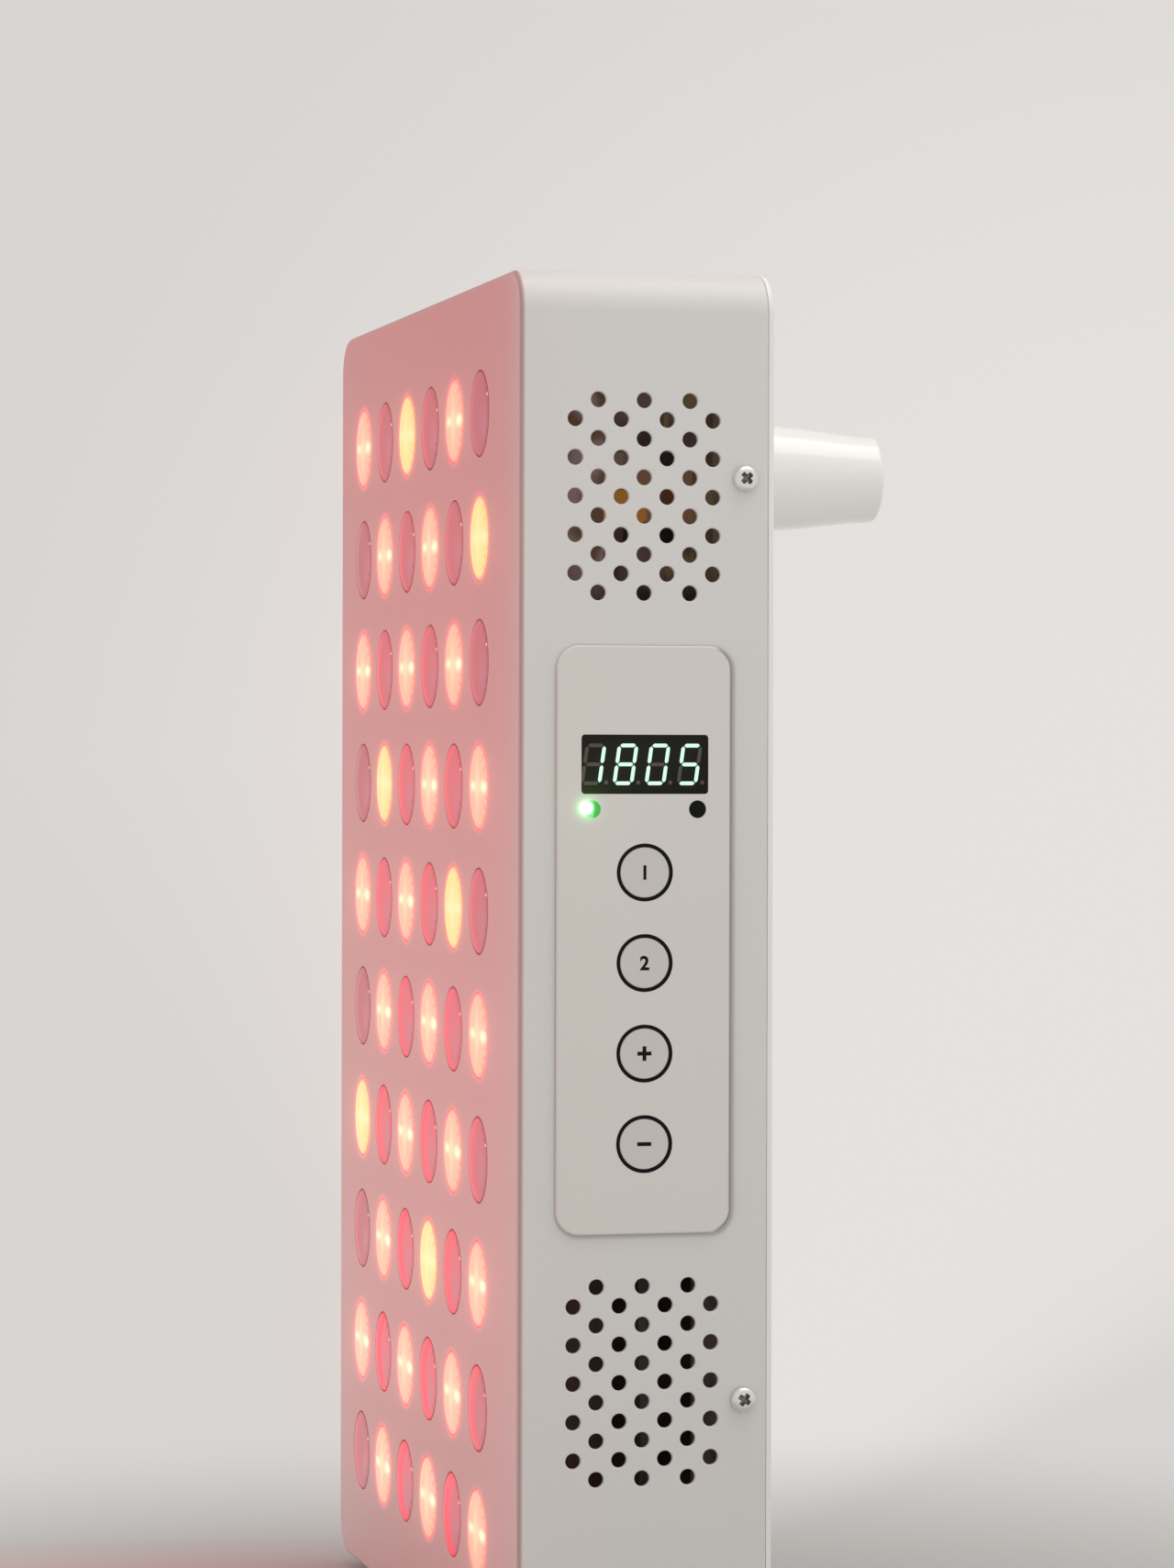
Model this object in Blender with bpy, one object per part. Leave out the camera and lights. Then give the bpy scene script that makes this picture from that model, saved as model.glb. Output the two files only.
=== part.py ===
"""Red light therapy panel: a folded steel case with 60 LEDs, side controls and cooled electronics.

Units are metres, +Z is up, the lit face looks along -Y and the control side is +X.
The origin lies under the middle of the whole object, at the bottom of its rubber feet.
"""
import math

import bmesh
import bpy
from mathutils import Matrix, Vector

# Clearances and overruns shared by all pieces
CLEARANCE = 0.0003
ADHESIVE = 0.0001
CUT_OVERRUN = 0.002

# Flat sides of round pieces that have no count of their own, and the angle that still looks smooth
SMALL_ROUND_SIDES = 8
MEDIUM_ROUND_SIDES = 10
SMOOTH_ANGLE = math.radians(32)

# Sheet steel case
SHEET = 0.0012
CASE_DEPTH = 0.0620
CORNER_RADIUS = 0.0100
FOLD_RADIUS = 0.0018
CORNER_STEPS = 4
FOLD_STEPS = 2

# LED field, which sets the width and height of the case
LED_COLUMNS = 6
LED_ROWS = 10
LED_COLUMN_PITCH = 0.0284
LED_ROW_PITCH = 0.0300
LED_CONTROL_MARGIN = 0.0419
LED_FAR_MARGIN = 0.0311
LED_END_MARGIN = 0.0315
LED_HOLE_DIAMETER = 0.0210
LED_HOLE_SIDES = 10

# Lens array, whose lenses stand in the holes of the face
LENS_RECESS = 0.0003
LENS_HEIGHT = 0.0064
LENS_TAPER = 0.0008
LENS_PLATE_THICKNESS = 0.0020
LENS_PLATE_MARGIN = 0.0130
LENS_SIDES = 8

# LED board and heatsink
EMITTER_SIZE = 0.0050
EMITTER_HEIGHT = 0.0020
LED_BOARD_THICKNESS = 0.0016
LED_BOARD_MARGIN = 0.0140
HEATSINK_BASE = 0.0030
HEATSINK_SIDE_MARGIN = 0.0120
HEATSINK_END_MARGIN = 0.0235
FIN_GAP = 0.0076
FIN_THICKNESS = 0.0016
FIN_COUNT = 15
PILLAR_DIAMETER = 0.0060
PILLAR_SPACING = 0.1200
PILLAR_END_MARGIN = 0.0190

# Rubber feet
FOOT_HEIGHT = 0.0030
FOOT_DIAMETER = 0.0140
FOOT_STEM_DIAMETER = 0.0048
FOOT_STEM_LENGTH = 0.0030
FOOT_SIDE_INSET = 0.0200
FOOT_DEPTH_INSET = 0.0140

# Control side: its features share one centre line, just before mid-depth, and one centre below the top
CONTROL_OFFSET = 0.0007
CONTROL_DROP = 0.1570
OVERLAY_SIDE_MARGIN = 0.0098
OVERLAY_HEIGHT = 0.1378
OVERLAY_THICKNESS = 0.0011
OVERLAY_CORNER = 0.0055
WINDOW_WIDTH = 0.0306
WINDOW_HEIGHT = 0.0138
WINDOW_RISE = 0.0411
WINDOW_THICKNESS = 0.0010
INDICATOR_DIAMETER = 0.0041
INDICATOR_INSET = 0.00575
INDICATOR_RISE = 0.0306
INDICATOR_CROWN = 0.0003
KEY_COUNT = 4
KEY_DIAMETER = 0.0121
KEY_THICKNESS = 0.0005
KEY_STEM_DIAMETER = 0.0036
KEY_PITCH = 0.0212
KEY_FIRST_RISE = 0.0158
KEY_TRAVEL = 0.0004
KEY_SIDES = 20

# Grilles of the control side
GRILLE_ROWS = 11
GRILLE_ROW_PITCH = 0.00451
GRILLE_HALF_PITCH = 0.00555
GRILLE_HOLE_DIAMETER = 0.0037
GRILLE_OFFSET = 0.1038
GRILLE_SIDES = 6

# Control board on its studs
BOARD_THICKNESS = 0.0016
BOARD_STANDOFF = 0.0071
BOARD_SIDE_MARGIN = 0.0125
BOARD_HEIGHT = 0.1280
STUD_DIAMETER = 0.0050
STUD_INSET = 0.0040
TACT_SIZE = 0.0060
TACT_HEIGHT = 0.0036
TACT_PLUNGER_DIAMETER = 0.0034
TACT_PLUNGER_TOP = 0.0050

# Back cover
FLANGE_DEPTH = 0.0115
FLANGE_END_MARGIN = 0.0200
STANDOFF_DIAMETER = 0.0060

# Screws: head diameter, head height, shank diameter, shank length
COVER_SCREW = (0.0059, 0.0019, 0.0030, 0.0060)
FAN_SCREW = (0.0062, 0.0020, 0.0038, 0.0110)
INLET_SCREW = (0.0056, 0.0018, 0.0030, 0.0070)
POST_SCREW = (0.0080, 0.0026, 0.0040, 0.0120)
SCREW_CROWN_SHARE = 0.62
SCREW_SHOULDER_SHARE = 0.45
COVER_SCREW_INSET = 0.0073
COVER_SCREW_OFFSET = 0.1084

# Rear posts
POST_DROP = 0.0467
POST_INSET = 0.0300
POST_LENGTH = 0.0330
POST_BASE_DIAMETER = 0.0254
POST_END_DIAMETER = 0.0206
POST_EDGE = 0.0008
POST_BORE_DEPTH = 0.0150
POST_SHOULDER_SHARE = 0.15
POST_SLOPE_SHARE = 0.91
POST_SIDES = 16
POST_STATIONS = 5

# Cooling fans
FAN_SIZE = 0.0800
FAN_THICKNESS = 0.0250
FAN_WALL = 0.0020
FAN_SCREW_INSET = 0.00425
FAN_HUB_DIAMETER = 0.0340
FAN_HUB_RECESS = 0.0015
FAN_MOTOR_PLATE = 0.0040
FAN_STRUT_WIDTH = 0.0050
FAN_SHAFT_DIAMETER = 0.0040
FAN_BLADES = 7
FAN_TIP_CLEARANCE = 0.0015
BLADE_THICKNESS = 0.0014
BLADE_ARC_SHARE = 0.34
BLADE_LOW_SHARE = 0.74
BLADE_HIGH_SHARE = 0.20
BLADE_STEPS = 4
FAN_SIDES = 24

# Wire guards
GUARD_RINGS = 3
GUARD_INNER_RADIUS = 0.0110
GUARD_WIRE = 0.0020
GUARD_STANDOFF = 0.0030
GUARD_EYELET_DIAMETER = 0.0085
GUARD_EYELET_THICKNESS = 0.0014
GUARD_SEGMENTS = 16
WIRE_SIDES = 4

# Mains inlet, low on the back
MAINS_RISE = 0.0170
INLET_SIDE_OFFSET = -0.0140
INLET_FLANGE_WIDTH = 0.0500
INLET_FLANGE_HEIGHT = 0.0220
INLET_FLANGE_THICKNESS = 0.0030
INLET_BODY_WIDTH = 0.0270
INLET_BODY_HEIGHT = 0.0196
INLET_BODY_LENGTH = 0.0200
INLET_SOCKET_WIDTH = 0.0244
INLET_SOCKET_HEIGHT = 0.0166
INLET_SOCKET_DEPTH = 0.0165
INLET_SOCKET_CHAMFER = 0.0045
INLET_SCREW_PITCH = 0.0400
PIN_WIDTH = 0.0020
PIN_HEIGHT = 0.0040
PIN_SPACING = 0.0070
PIN_OFFSET = 0.0020
PIN_REACH = 0.0120
PIN_TAB = 0.0030

# Rocker switch beside the inlet
SWITCH_SIDE_OFFSET = 0.0300
SWITCH_BEZEL_WIDTH = 0.0150
SWITCH_BEZEL_HEIGHT = 0.0210
SWITCH_BEZEL_THICKNESS = 0.0020
SWITCH_BODY_WIDTH = 0.0128
SWITCH_BODY_HEIGHT = 0.0192
SWITCH_BODY_LENGTH = 0.0150
SWITCH_WALL = 0.0010
SWITCH_WELL_DEPTH = 0.0100
ROCKER_HALF_LENGTH = 0.0076
ROCKER_TILT = math.radians(10)
ROCKER_END_RISE = 0.0024
ROCKER_MIDDLE_RISE = 0.0008
ROCKER_KEEL = 0.0045
ROCKER_KEEL_SHARE = 0.5

# LED drivers behind the upper grille
DRIVER_INSET = 0.0375
DRIVER_DROP = 0.0580
DRIVER_WIDTH = 0.0400
DRIVER_HEIGHT = 0.1000
DRIVER_STANDOFF = 0.0088
DRIVER_HOLE_INSET = 0.0040
TRANSFORMER_WIDTH = 0.0220
TRANSFORMER_HEIGHT = 0.0220
TRANSFORMER_THICKNESS = 0.0200
TRANSFORMER_RISE = 0.0060
TRANSFORMER_CORE_SHARE = 0.5
WINDING_INSET_SHARE = 0.125
CAPACITOR_DIAMETER = 0.0160
CAPACITOR_LENGTH = 0.0180
CAPACITOR_DROP = 0.0260
CAPACITOR_SIDES = 12

# Terminal block in the middle of the back cover
TERMINAL_SIDE_OFFSET = -0.0200
TERMINAL_DROP = 0.1660
TERMINAL_WIDTH = 0.0600
TERMINAL_HEIGHT = 0.0180
TERMINAL_THICKNESS = 0.0160
TERMINAL_POLES = 5
TERMINAL_NOTCH = 0.0040
TERMINAL_RIB = 0.0020

# Inner harnesses: radius and places on their routes
MAINS_LEAD_RADIUS = 0.0020
CONTROL_LEAD_RADIUS = 0.0018
CONTROL_LEAD_INSET = 0.0085
CONTROL_LEAD_END_INSET = 0.0048
LED_LEAD_RADIUS = 0.0018
LED_LEAD_INSET = 0.0170
LED_LEAD_DROP = 0.0156
LED_LEAD_RISE = 0.0300
LED_LEAD_BEND = 0.0120
FAN_LEAD_RADIUS = 0.0014
FAN_LEAD_OFFSET = 0.0250
FAN_LEAD_INSET = 0.0195
LEAD_SIDES = 6
LEAD_STEPS = 2

# Sizes and places worked out from the ones above
CASE_WIDTH = (LED_COLUMNS - 1) * LED_COLUMN_PITCH + LED_CONTROL_MARGIN + LED_FAR_MARGIN
CASE_HEIGHT = (LED_ROWS - 1) * LED_ROW_PITCH + 2 * LED_END_MARGIN
SIDE_X = CASE_WIDTH / 2
INNER_X = SIDE_X - SHEET
BOTTOM_Z = FOOT_HEIGHT
TOP_Z = BOTTOM_Z + CASE_HEIGHT
FRONT_Y = -(CASE_DEPTH + CLEARANCE + POST_LENGTH) / 2
BACK_Y = FRONT_Y + CASE_DEPTH
COVER_INNER_Y = BACK_Y - SHEET
FAN_FACE_Y = COVER_INNER_Y - CLEARANCE
FAN_FRONT_Y = FAN_FACE_Y - FAN_THICKNESS
FAN_BORE_DIAMETER = FAN_SIZE - 2 * FAN_WALL
FAN_SCREW_PITCH = FAN_SIZE - 2 * FAN_SCREW_INSET
GUARD_OUTER_RADIUS = FAN_BORE_DIAMETER / 2
CONTROL_Y = FRONT_Y + CASE_DEPTH / 2 - CONTROL_OFFSET
CONTROL_Z = TOP_Z - CONTROL_DROP
MAINS_Z = BOTTOM_Z + MAINS_RISE
LENS_FRONT_Y = FRONT_Y + LENS_RECESS
LENS_PLATE_Y = LENS_FRONT_Y + LENS_HEIGHT
EMITTER_Y = LENS_PLATE_Y + LENS_PLATE_THICKNESS + CLEARANCE
LED_BOARD_Y = EMITTER_Y + EMITTER_HEIGHT
HEATSINK_Y = LED_BOARD_Y + LED_BOARD_THICKNESS + CLEARANCE
OVERLAY_WIDTH = CASE_DEPTH - 2 * OVERLAY_SIDE_MARGIN
OVERLAY_BACK_X = SIDE_X + ADHESIVE
BOARD_WIDTH = CASE_DEPTH - 2 * BOARD_SIDE_MARGIN
INDICATOR_SPACING = BOARD_WIDTH - 2 * INDICATOR_INSET
OVERLAY_FACE_X = OVERLAY_BACK_X + OVERLAY_THICKNESS
BOARD_FACE_X = INNER_X - BOARD_STANDOFF
BOARD_BACK_X = BOARD_FACE_X - BOARD_THICKNESS
LED_FIRST_X = -SIDE_X + LED_FAR_MARGIN
LED_LAST_X = SIDE_X - LED_CONTROL_MARGIN
LED_FIRST_Z = TOP_Z - LED_END_MARGIN
LED_LAST_Z = BOTTOM_Z + LED_END_MARGIN
LED_HOLE_INSCRIBED = LED_HOLE_DIAMETER * math.cos(math.pi / LED_HOLE_SIDES)
LENS_DIAMETER = LED_HOLE_INSCRIBED - 2 * CLEARANCE
FAN_RISES = {"upper": GRILLE_OFFSET, "lower": -GRILLE_OFFSET}
DRIVER_FACE_Y = COVER_INNER_Y - DRIVER_STANDOFF - CLEARANCE - BOARD_THICKNESS

AXES = {"X": Vector((1, 0, 0)), "Y": Vector((0, 1, 0)), "Z": Vector((0, 0, 1))}


def clear_scene():
    """Remove every object, so that the model starts from nothing."""
    for leftover in list(bpy.data.objects):
        bpy.data.objects.remove(leftover, do_unlink=True)


def finish_material(name, color, roughness, metallic=0.0):
    """Make a Principled material with one colour, roughness and metallic value."""
    material = bpy.data.materials.new(name)
    material.use_nodes = True
    shader = material.node_tree.nodes["Principled BSDF"]
    shader.inputs["Base Color"].default_value = (*color, 1.0)
    shader.inputs["Roughness"].default_value = roughness
    shader.inputs["Metallic"].default_value = metallic
    material.diffuse_color = (*color, 1.0)
    return material


def axis_matrix(centre, axis):
    """Place local +Z along a world axis, with the origin at the centre."""
    turn = AXES[axis].to_track_quat("Z", "Y").to_matrix().to_4x4()
    return Matrix.Translation(centre) @ turn


def block(low, high):
    """Mesh of a box between two opposite corners."""
    shape = bmesh.new()
    size = Vector(high) - Vector(low)
    middle = (Vector(high) + Vector(low)) / 2
    place = Matrix.Translation(middle) @ Matrix.Diagonal((*size, 1))
    bmesh.ops.create_cube(shape, size=1, matrix=place)
    return shape


def lofted(rings):
    """Mesh through rings of points of equal count, capped at both ends."""
    shape = bmesh.new()
    loops = [[shape.verts.new(point) for point in ring] for ring in rings]
    count = len(loops[0])
    for lower, upper in zip(loops, loops[1:]):
        for index in range(count):
            following = (index + 1) % count
            shape.faces.new((lower[index], lower[following], upper[following], upper[index]))
    shape.faces.new(loops[0])
    shape.faces.new(loops[-1])
    bmesh.ops.recalc_face_normals(shape, faces=shape.faces)
    return shape


def circle(radius, sides):
    """Points of a regular polygon with a flat side downward."""
    angles = [2 * math.pi * (index + 0.5) / sides for index in range(sides)]
    return [(radius * math.cos(angle), radius * math.sin(angle)) for angle in angles]


def turned(profile, sides, centre, axis):
    """Turned shape: the profile is (radius, height) pairs along the axis, from cap to cap."""
    place = axis_matrix(centre, axis)
    rings = []
    for radius, height in profile:
        rings.append([place @ Vector((u, v, height)) for u, v in circle(radius, sides)])
    return lofted(rings)


def drill(centre, axis, diameter, length, sides):
    """Cylinder for a hole or a pin, centred on a point."""
    radius = diameter / 2
    return turned([(radius, -length / 2), (radius, length / 2)], sides, centre, axis)


def prism(outline, axis, start, end):
    """Extrude an outline along an axis; its points are the two other coordinates in X, Y, Z order."""
    rings = []
    for station in (start, end):
        if axis == "X":
            rings.append([Vector((station, u, v)) for u, v in outline])
        elif axis == "Y":
            rings.append([Vector((u, station, v)) for u, v in outline])
        else:
            rings.append([Vector((u, v, station)) for u, v in outline])
    return lofted(rings)


def rounded_rectangle(centre, width, height, radius, steps):
    """Outline of a rectangle with round corners."""
    points = []
    corners = ((1, 1, 0), (-1, 1, 1), (-1, -1, 2), (1, -1, 3))
    for across, up, quarter in corners:
        corner_u = centre[0] + across * (width / 2 - radius)
        corner_v = centre[1] + up * (height / 2 - radius)
        for step in range(steps + 1):
            angle = (quarter + step / steps) * math.pi / 2
            points.append((corner_u + radius * math.cos(angle), corner_v + radius * math.sin(angle)))
    return points


def tube(points, radius, sides, closed=False):
    """Tube of even radius along a path, with flat ends or closed into a ring."""
    count = len(points)
    path = [Vector(point) for point in points]
    rings = []
    side = None
    for index, point in enumerate(path):
        ahead = path[(index + 1) % count] if closed or index < count - 1 else point
        behind = path[index - 1] if closed or index > 0 else point
        along = (ahead - behind).normalized()
        if side is None:
            side = along.orthogonal().normalized()
            if closed:
                side = AXES["Y"].copy()
        side = (side - along * side.dot(along)).normalized()
        other = along.cross(side)
        rings.append([point + side * u + other * v for u, v in circle(radius, sides)])
    if not closed:
        return lofted(rings)
    shape = bmesh.new()
    loops = [[shape.verts.new(corner) for corner in ring] for ring in rings]
    for index, loop in enumerate(loops):
        following_loop = loops[(index + 1) % count]
        for corner in range(sides):
            following = (corner + 1) % sides
            quad = (loop[corner], loop[following], following_loop[following], following_loop[corner])
            shape.faces.new(quad)
    bmesh.ops.recalc_face_normals(shape, faces=shape.faces)
    return shape


def smooth_route(points, steps):
    """Catmull-Rom curve through the points, read at equal steps, with a straight run at each end."""
    knots = [Vector(point) for point in points]
    knots.insert(1, (knots[0] + knots[1]) / 2)
    knots.insert(-1, (knots[-1] + knots[-2]) / 2)
    knots = [2 * knots[0] - knots[1]] + knots + [2 * knots[-1] - knots[-2]]
    route = []
    for before, start, end, after in zip(knots, knots[1:], knots[2:], knots[3:]):
        for step in range(steps):
            share = step / steps
            bend = 2 * before - 5 * start + 4 * end - after
            twist = 3 * start - 3 * end + after - before
            climb = end - before
            route.append(start + (climb * share + bend * share ** 2 + twist * share ** 3) / 2)
    route.append(knots[-2])
    return route


def gathered(shapes):
    """Put several shapes that don't touch into one mesh, as a set of cutters or of additions."""
    joined = bmesh.new()
    for shape in shapes:
        piece = bpy.data.meshes.new("piece")
        shape.to_mesh(piece)
        shape.free()
        joined.from_mesh(piece)
        bpy.data.meshes.remove(piece)
    return joined


def to_mesh(shape, name):
    """Turn an edit mesh into mesh data."""
    mesh = bpy.data.meshes.new(name)
    shape.to_mesh(mesh)
    shape.free()
    return mesh


def carved(name, base, additions=(), cuts=()):
    """Join the additions to a base shape, then take the cuts from it, with exact Booleans."""
    holder = bpy.data.objects.new(name, to_mesh(base, name + "_base"))
    bpy.context.collection.objects.link(holder)
    helpers = []
    for operation, shapes in (("UNION", additions), ("DIFFERENCE", cuts)):
        for shape in shapes:
            helper = bpy.data.objects.new(name + "_helper", to_mesh(shape, name + "_helper"))
            bpy.context.collection.objects.link(helper)
            helpers.append(helper)
            modifier = holder.modifiers.new(operation.lower(), "BOOLEAN")
            modifier.operation = operation
            modifier.solver = "EXACT"
            modifier.object = helper
    evaluated = holder.evaluated_get(bpy.context.evaluated_depsgraph_get())
    mesh = bpy.data.meshes.new_from_object(evaluated)
    for helper in helpers + [holder]:
        bpy.data.objects.remove(helper, do_unlink=True)
    mesh.name = name
    return mesh


def put(name, mesh, material, parent, origin=(0, 0, 0), made_in_place=True):
    """Add a node; a mesh made in place is moved so that the object's origin lies where it belongs."""
    if isinstance(mesh, bmesh.types.BMesh):
        mesh = to_mesh(mesh, name)
    if made_in_place:
        mesh.transform(Matrix.Translation(-Vector(origin)))
    if not mesh.materials:
        mesh.materials.append(material)
    mesh.materials[0] = material
    mesh.shade_smooth()
    mesh.set_sharp_from_angle(angle=SMOOTH_ANGLE)
    node = bpy.data.objects.new(name, mesh)
    bpy.context.collection.objects.link(node)
    node.parent = parent
    node.location = origin
    return node


def put_empty(name, location, parent=None):
    """Add an empty that carries an assembly."""
    empty = bpy.data.objects.new(name, None)
    bpy.context.collection.objects.link(empty)
    empty.location = location
    empty.parent = parent
    return empty


def led_places():
    """Centres of the LEDs, from the far top corner, as (x, z)."""
    places = []
    for row in range(LED_ROWS):
        for column in range(LED_COLUMNS):
            x = LED_FIRST_X + column * LED_COLUMN_PITCH
            places.append((x, LED_FIRST_Z - row * LED_ROW_PITCH))
    return places


def grille_places():
    """Centres of the holes of both grilles on the control side, as (y, z)."""
    places = []
    for rise in (GRILLE_OFFSET, -GRILLE_OFFSET):
        for row in range(GRILLE_ROWS):
            count = 3 if row % 2 == 0 else 4
            z = CONTROL_Z + rise + ((GRILLE_ROWS - 1) / 2 - row) * GRILLE_ROW_PITCH
            for index in range(count):
                y = CONTROL_Y + (2 * index - (count - 1)) * GRILLE_HALF_PITCH
                places.append((y, z))
    return places


def key_places():
    """Centres of the keys, from the top, as (y, z)."""
    return [(CONTROL_Y, CONTROL_Z + KEY_FIRST_RISE - index * KEY_PITCH) for index in range(KEY_COUNT)]


def indicator_places():
    """Centres of the two indicators, as (y, z)."""
    z = CONTROL_Z + INDICATOR_RISE
    return [(CONTROL_Y - INDICATOR_SPACING / 2, z), (CONTROL_Y + INDICATOR_SPACING / 2, z)]


def foot_places():
    """Centres of the feet, as (x, y)."""
    across = SIDE_X - FOOT_SIDE_INSET
    front = FRONT_Y + FOOT_DEPTH_INSET
    back = BACK_Y - FOOT_DEPTH_INSET
    return [(-across, front), (across, front), (-across, back), (across, back)]


def stud_places():
    """Centres of the studs that carry the control board, as (y, z)."""
    across = BOARD_WIDTH / 2 - STUD_INSET
    up = BOARD_HEIGHT / 2 - STUD_INSET
    return [(CONTROL_Y + u * across, CONTROL_Z + v * up) for u in (-1, 1) for v in (-1, 1)]


def pillar_places():
    """Centres of the pillars that carry the heatsink, as (x, z)."""
    top = LED_FIRST_Z + PILLAR_END_MARGIN
    bottom = LED_LAST_Z - PILLAR_END_MARGIN
    return [(u * PILLAR_SPACING / 2, z) for u in (-1, 1) for z in (top, bottom)]


def cover_screw_places():
    """Heights of the cover screws on each side."""
    return [CONTROL_Z + COVER_SCREW_OFFSET, CONTROL_Z - COVER_SCREW_OFFSET]


def case_rings(inset, stations):
    """Rings of the case's outline, drawn in by an inset at each station of (y, extra inset)."""
    centre = (0, BOTTOM_Z + CASE_HEIGHT / 2)
    rings = []
    for y, extra in stations:
        shrink = inset + extra
        outline = rounded_rectangle(
            centre, CASE_WIDTH - 2 * shrink, CASE_HEIGHT - 2 * shrink, CORNER_RADIUS - shrink, CORNER_STEPS)
        rings.append([Vector((x, y, z)) for x, z in outline])
    return rings


def front_case():
    """Steel tray: face and four sides, with the LED holes, grilles, studs and control openings."""
    fold = []
    for step in range(FOLD_STEPS + 1):
        angle = step / FOLD_STEPS * math.pi / 2
        fold.append((FRONT_Y + FOLD_RADIUS * (1 - math.sin(angle)), FOLD_RADIUS * (1 - math.cos(angle))))
    fold.reverse()
    rear_y = COVER_INNER_Y - CLEARANCE
    outer = lofted(case_rings(0, fold + [(rear_y, 0)]))
    hollow = lofted(case_rings(SHEET, [(FRONT_Y + SHEET, 0), (rear_y + CUT_OVERRUN, 0)]))
    return carved("front_case", outer, cuts=[hollow])


def case_studs():
    """Welded studs for the control board, and pillars for the heatsink."""
    studs = []
    tip_x = BOARD_FACE_X + CLEARANCE
    root_x = INNER_X + SHEET / 2
    for y, z in stud_places():
        centre = ((tip_x + root_x) / 2, y, z)
        studs.append(drill(centre, "X", STUD_DIAMETER, root_x - tip_x, SMALL_ROUND_SIDES))
    tip_y = HEATSINK_Y - CLEARANCE
    root_y = FRONT_Y + SHEET / 2
    for x, z in pillar_places():
        centre = (x, (tip_y + root_y) / 2, z)
        studs.append(drill(centre, "Y", PILLAR_DIAMETER, tip_y - root_y, SMALL_ROUND_SIDES))
    return gathered(studs)


def case_holes():
    """Cutters for every hole through the case."""
    through = SHEET + 2 * CUT_OVERRUN
    face_y = FRONT_Y + SHEET / 2
    wall_x = SIDE_X - SHEET / 2
    cutters = []
    for x, z in led_places():
        cutters.append(drill((x, face_y, z), "Y", LED_HOLE_DIAMETER, through, LED_HOLE_SIDES))
    for y, z in grille_places():
        cutters.append(drill((wall_x, y, z), "X", GRILLE_HOLE_DIAMETER, through, GRILLE_SIDES))
    for side in (-1, 1):
        for z in cover_screw_places():
            place = (side * wall_x, BACK_Y - COVER_SCREW_INSET, z)
            cutters.append(drill(place, "X", COVER_SCREW[2] + 2 * CLEARANCE, through, SMALL_ROUND_SIDES))
    for y, z in key_places():
        diameter = KEY_STEM_DIAMETER + 2 * CLEARANCE
        cutters.append(drill((wall_x, y, z), "X", diameter, through, SMALL_ROUND_SIDES))
    for y, z in indicator_places():
        diameter = INDICATOR_DIAMETER + 2 * CLEARANCE
        cutters.append(drill((wall_x, y, z), "X", diameter, through, MEDIUM_ROUND_SIDES))
    for x, y in foot_places():
        diameter = FOOT_STEM_DIAMETER + 2 * CLEARANCE
        cutters.append(drill((x, y, BOTTOM_Z + SHEET / 2), "Z", diameter, through, SMALL_ROUND_SIDES))
    cutters.append(window_block(CLEARANCE, wall_x - through / 2, wall_x + through / 2))
    return gathered(cutters)


def window_block(growth, low_x, high_x):
    """Block of the window's outline, grown by a clearance, between two planes of x."""
    z = CONTROL_Z + WINDOW_RISE
    half_width = WINDOW_WIDTH / 2 + growth
    half_height = WINDOW_HEIGHT / 2 + growth
    low = (low_x, CONTROL_Y - half_width, z - half_height)
    high = (high_x, CONTROL_Y + half_width, z + half_height)
    return block(low, high)


def finished_case():
    """The tray with its studs and holes."""
    base = bmesh.new()
    tray = front_case()
    base.from_mesh(tray)
    bpy.data.meshes.remove(tray)
    return carved("front_case", base, additions=[case_studs()], cuts=[case_holes()])


def back_cover():
    """Rear plate with side flanges, driver standoffs, fan openings and the mains cut-outs."""
    plate = lofted(case_rings(0, [(COVER_INNER_Y, 0), (BACK_Y, 0)]))
    flange_x = INNER_X - CLEARANCE
    root_y = COVER_INNER_Y + SHEET / 2
    flanges = []
    for side in (-1, 1):
        ends = sorted((side * flange_x, side * (flange_x - SHEET)))
        low = (ends[0], COVER_INNER_Y - FLANGE_DEPTH, BOTTOM_Z + FLANGE_END_MARGIN)
        high = (ends[1], root_y, TOP_Z - FLANGE_END_MARGIN)
        flanges.append(block(low, high))
    tip_y = COVER_INNER_Y - DRIVER_STANDOFF
    for x, z in driver_hole_places():
        centre = (x, (tip_y + root_y) / 2, z)
        flanges.append(drill(centre, "Y", STANDOFF_DIAMETER, root_y - tip_y, SMALL_ROUND_SIDES))
    return carved("back_cover", plate, additions=[gathered(flanges)], cuts=[cover_holes()])


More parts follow.
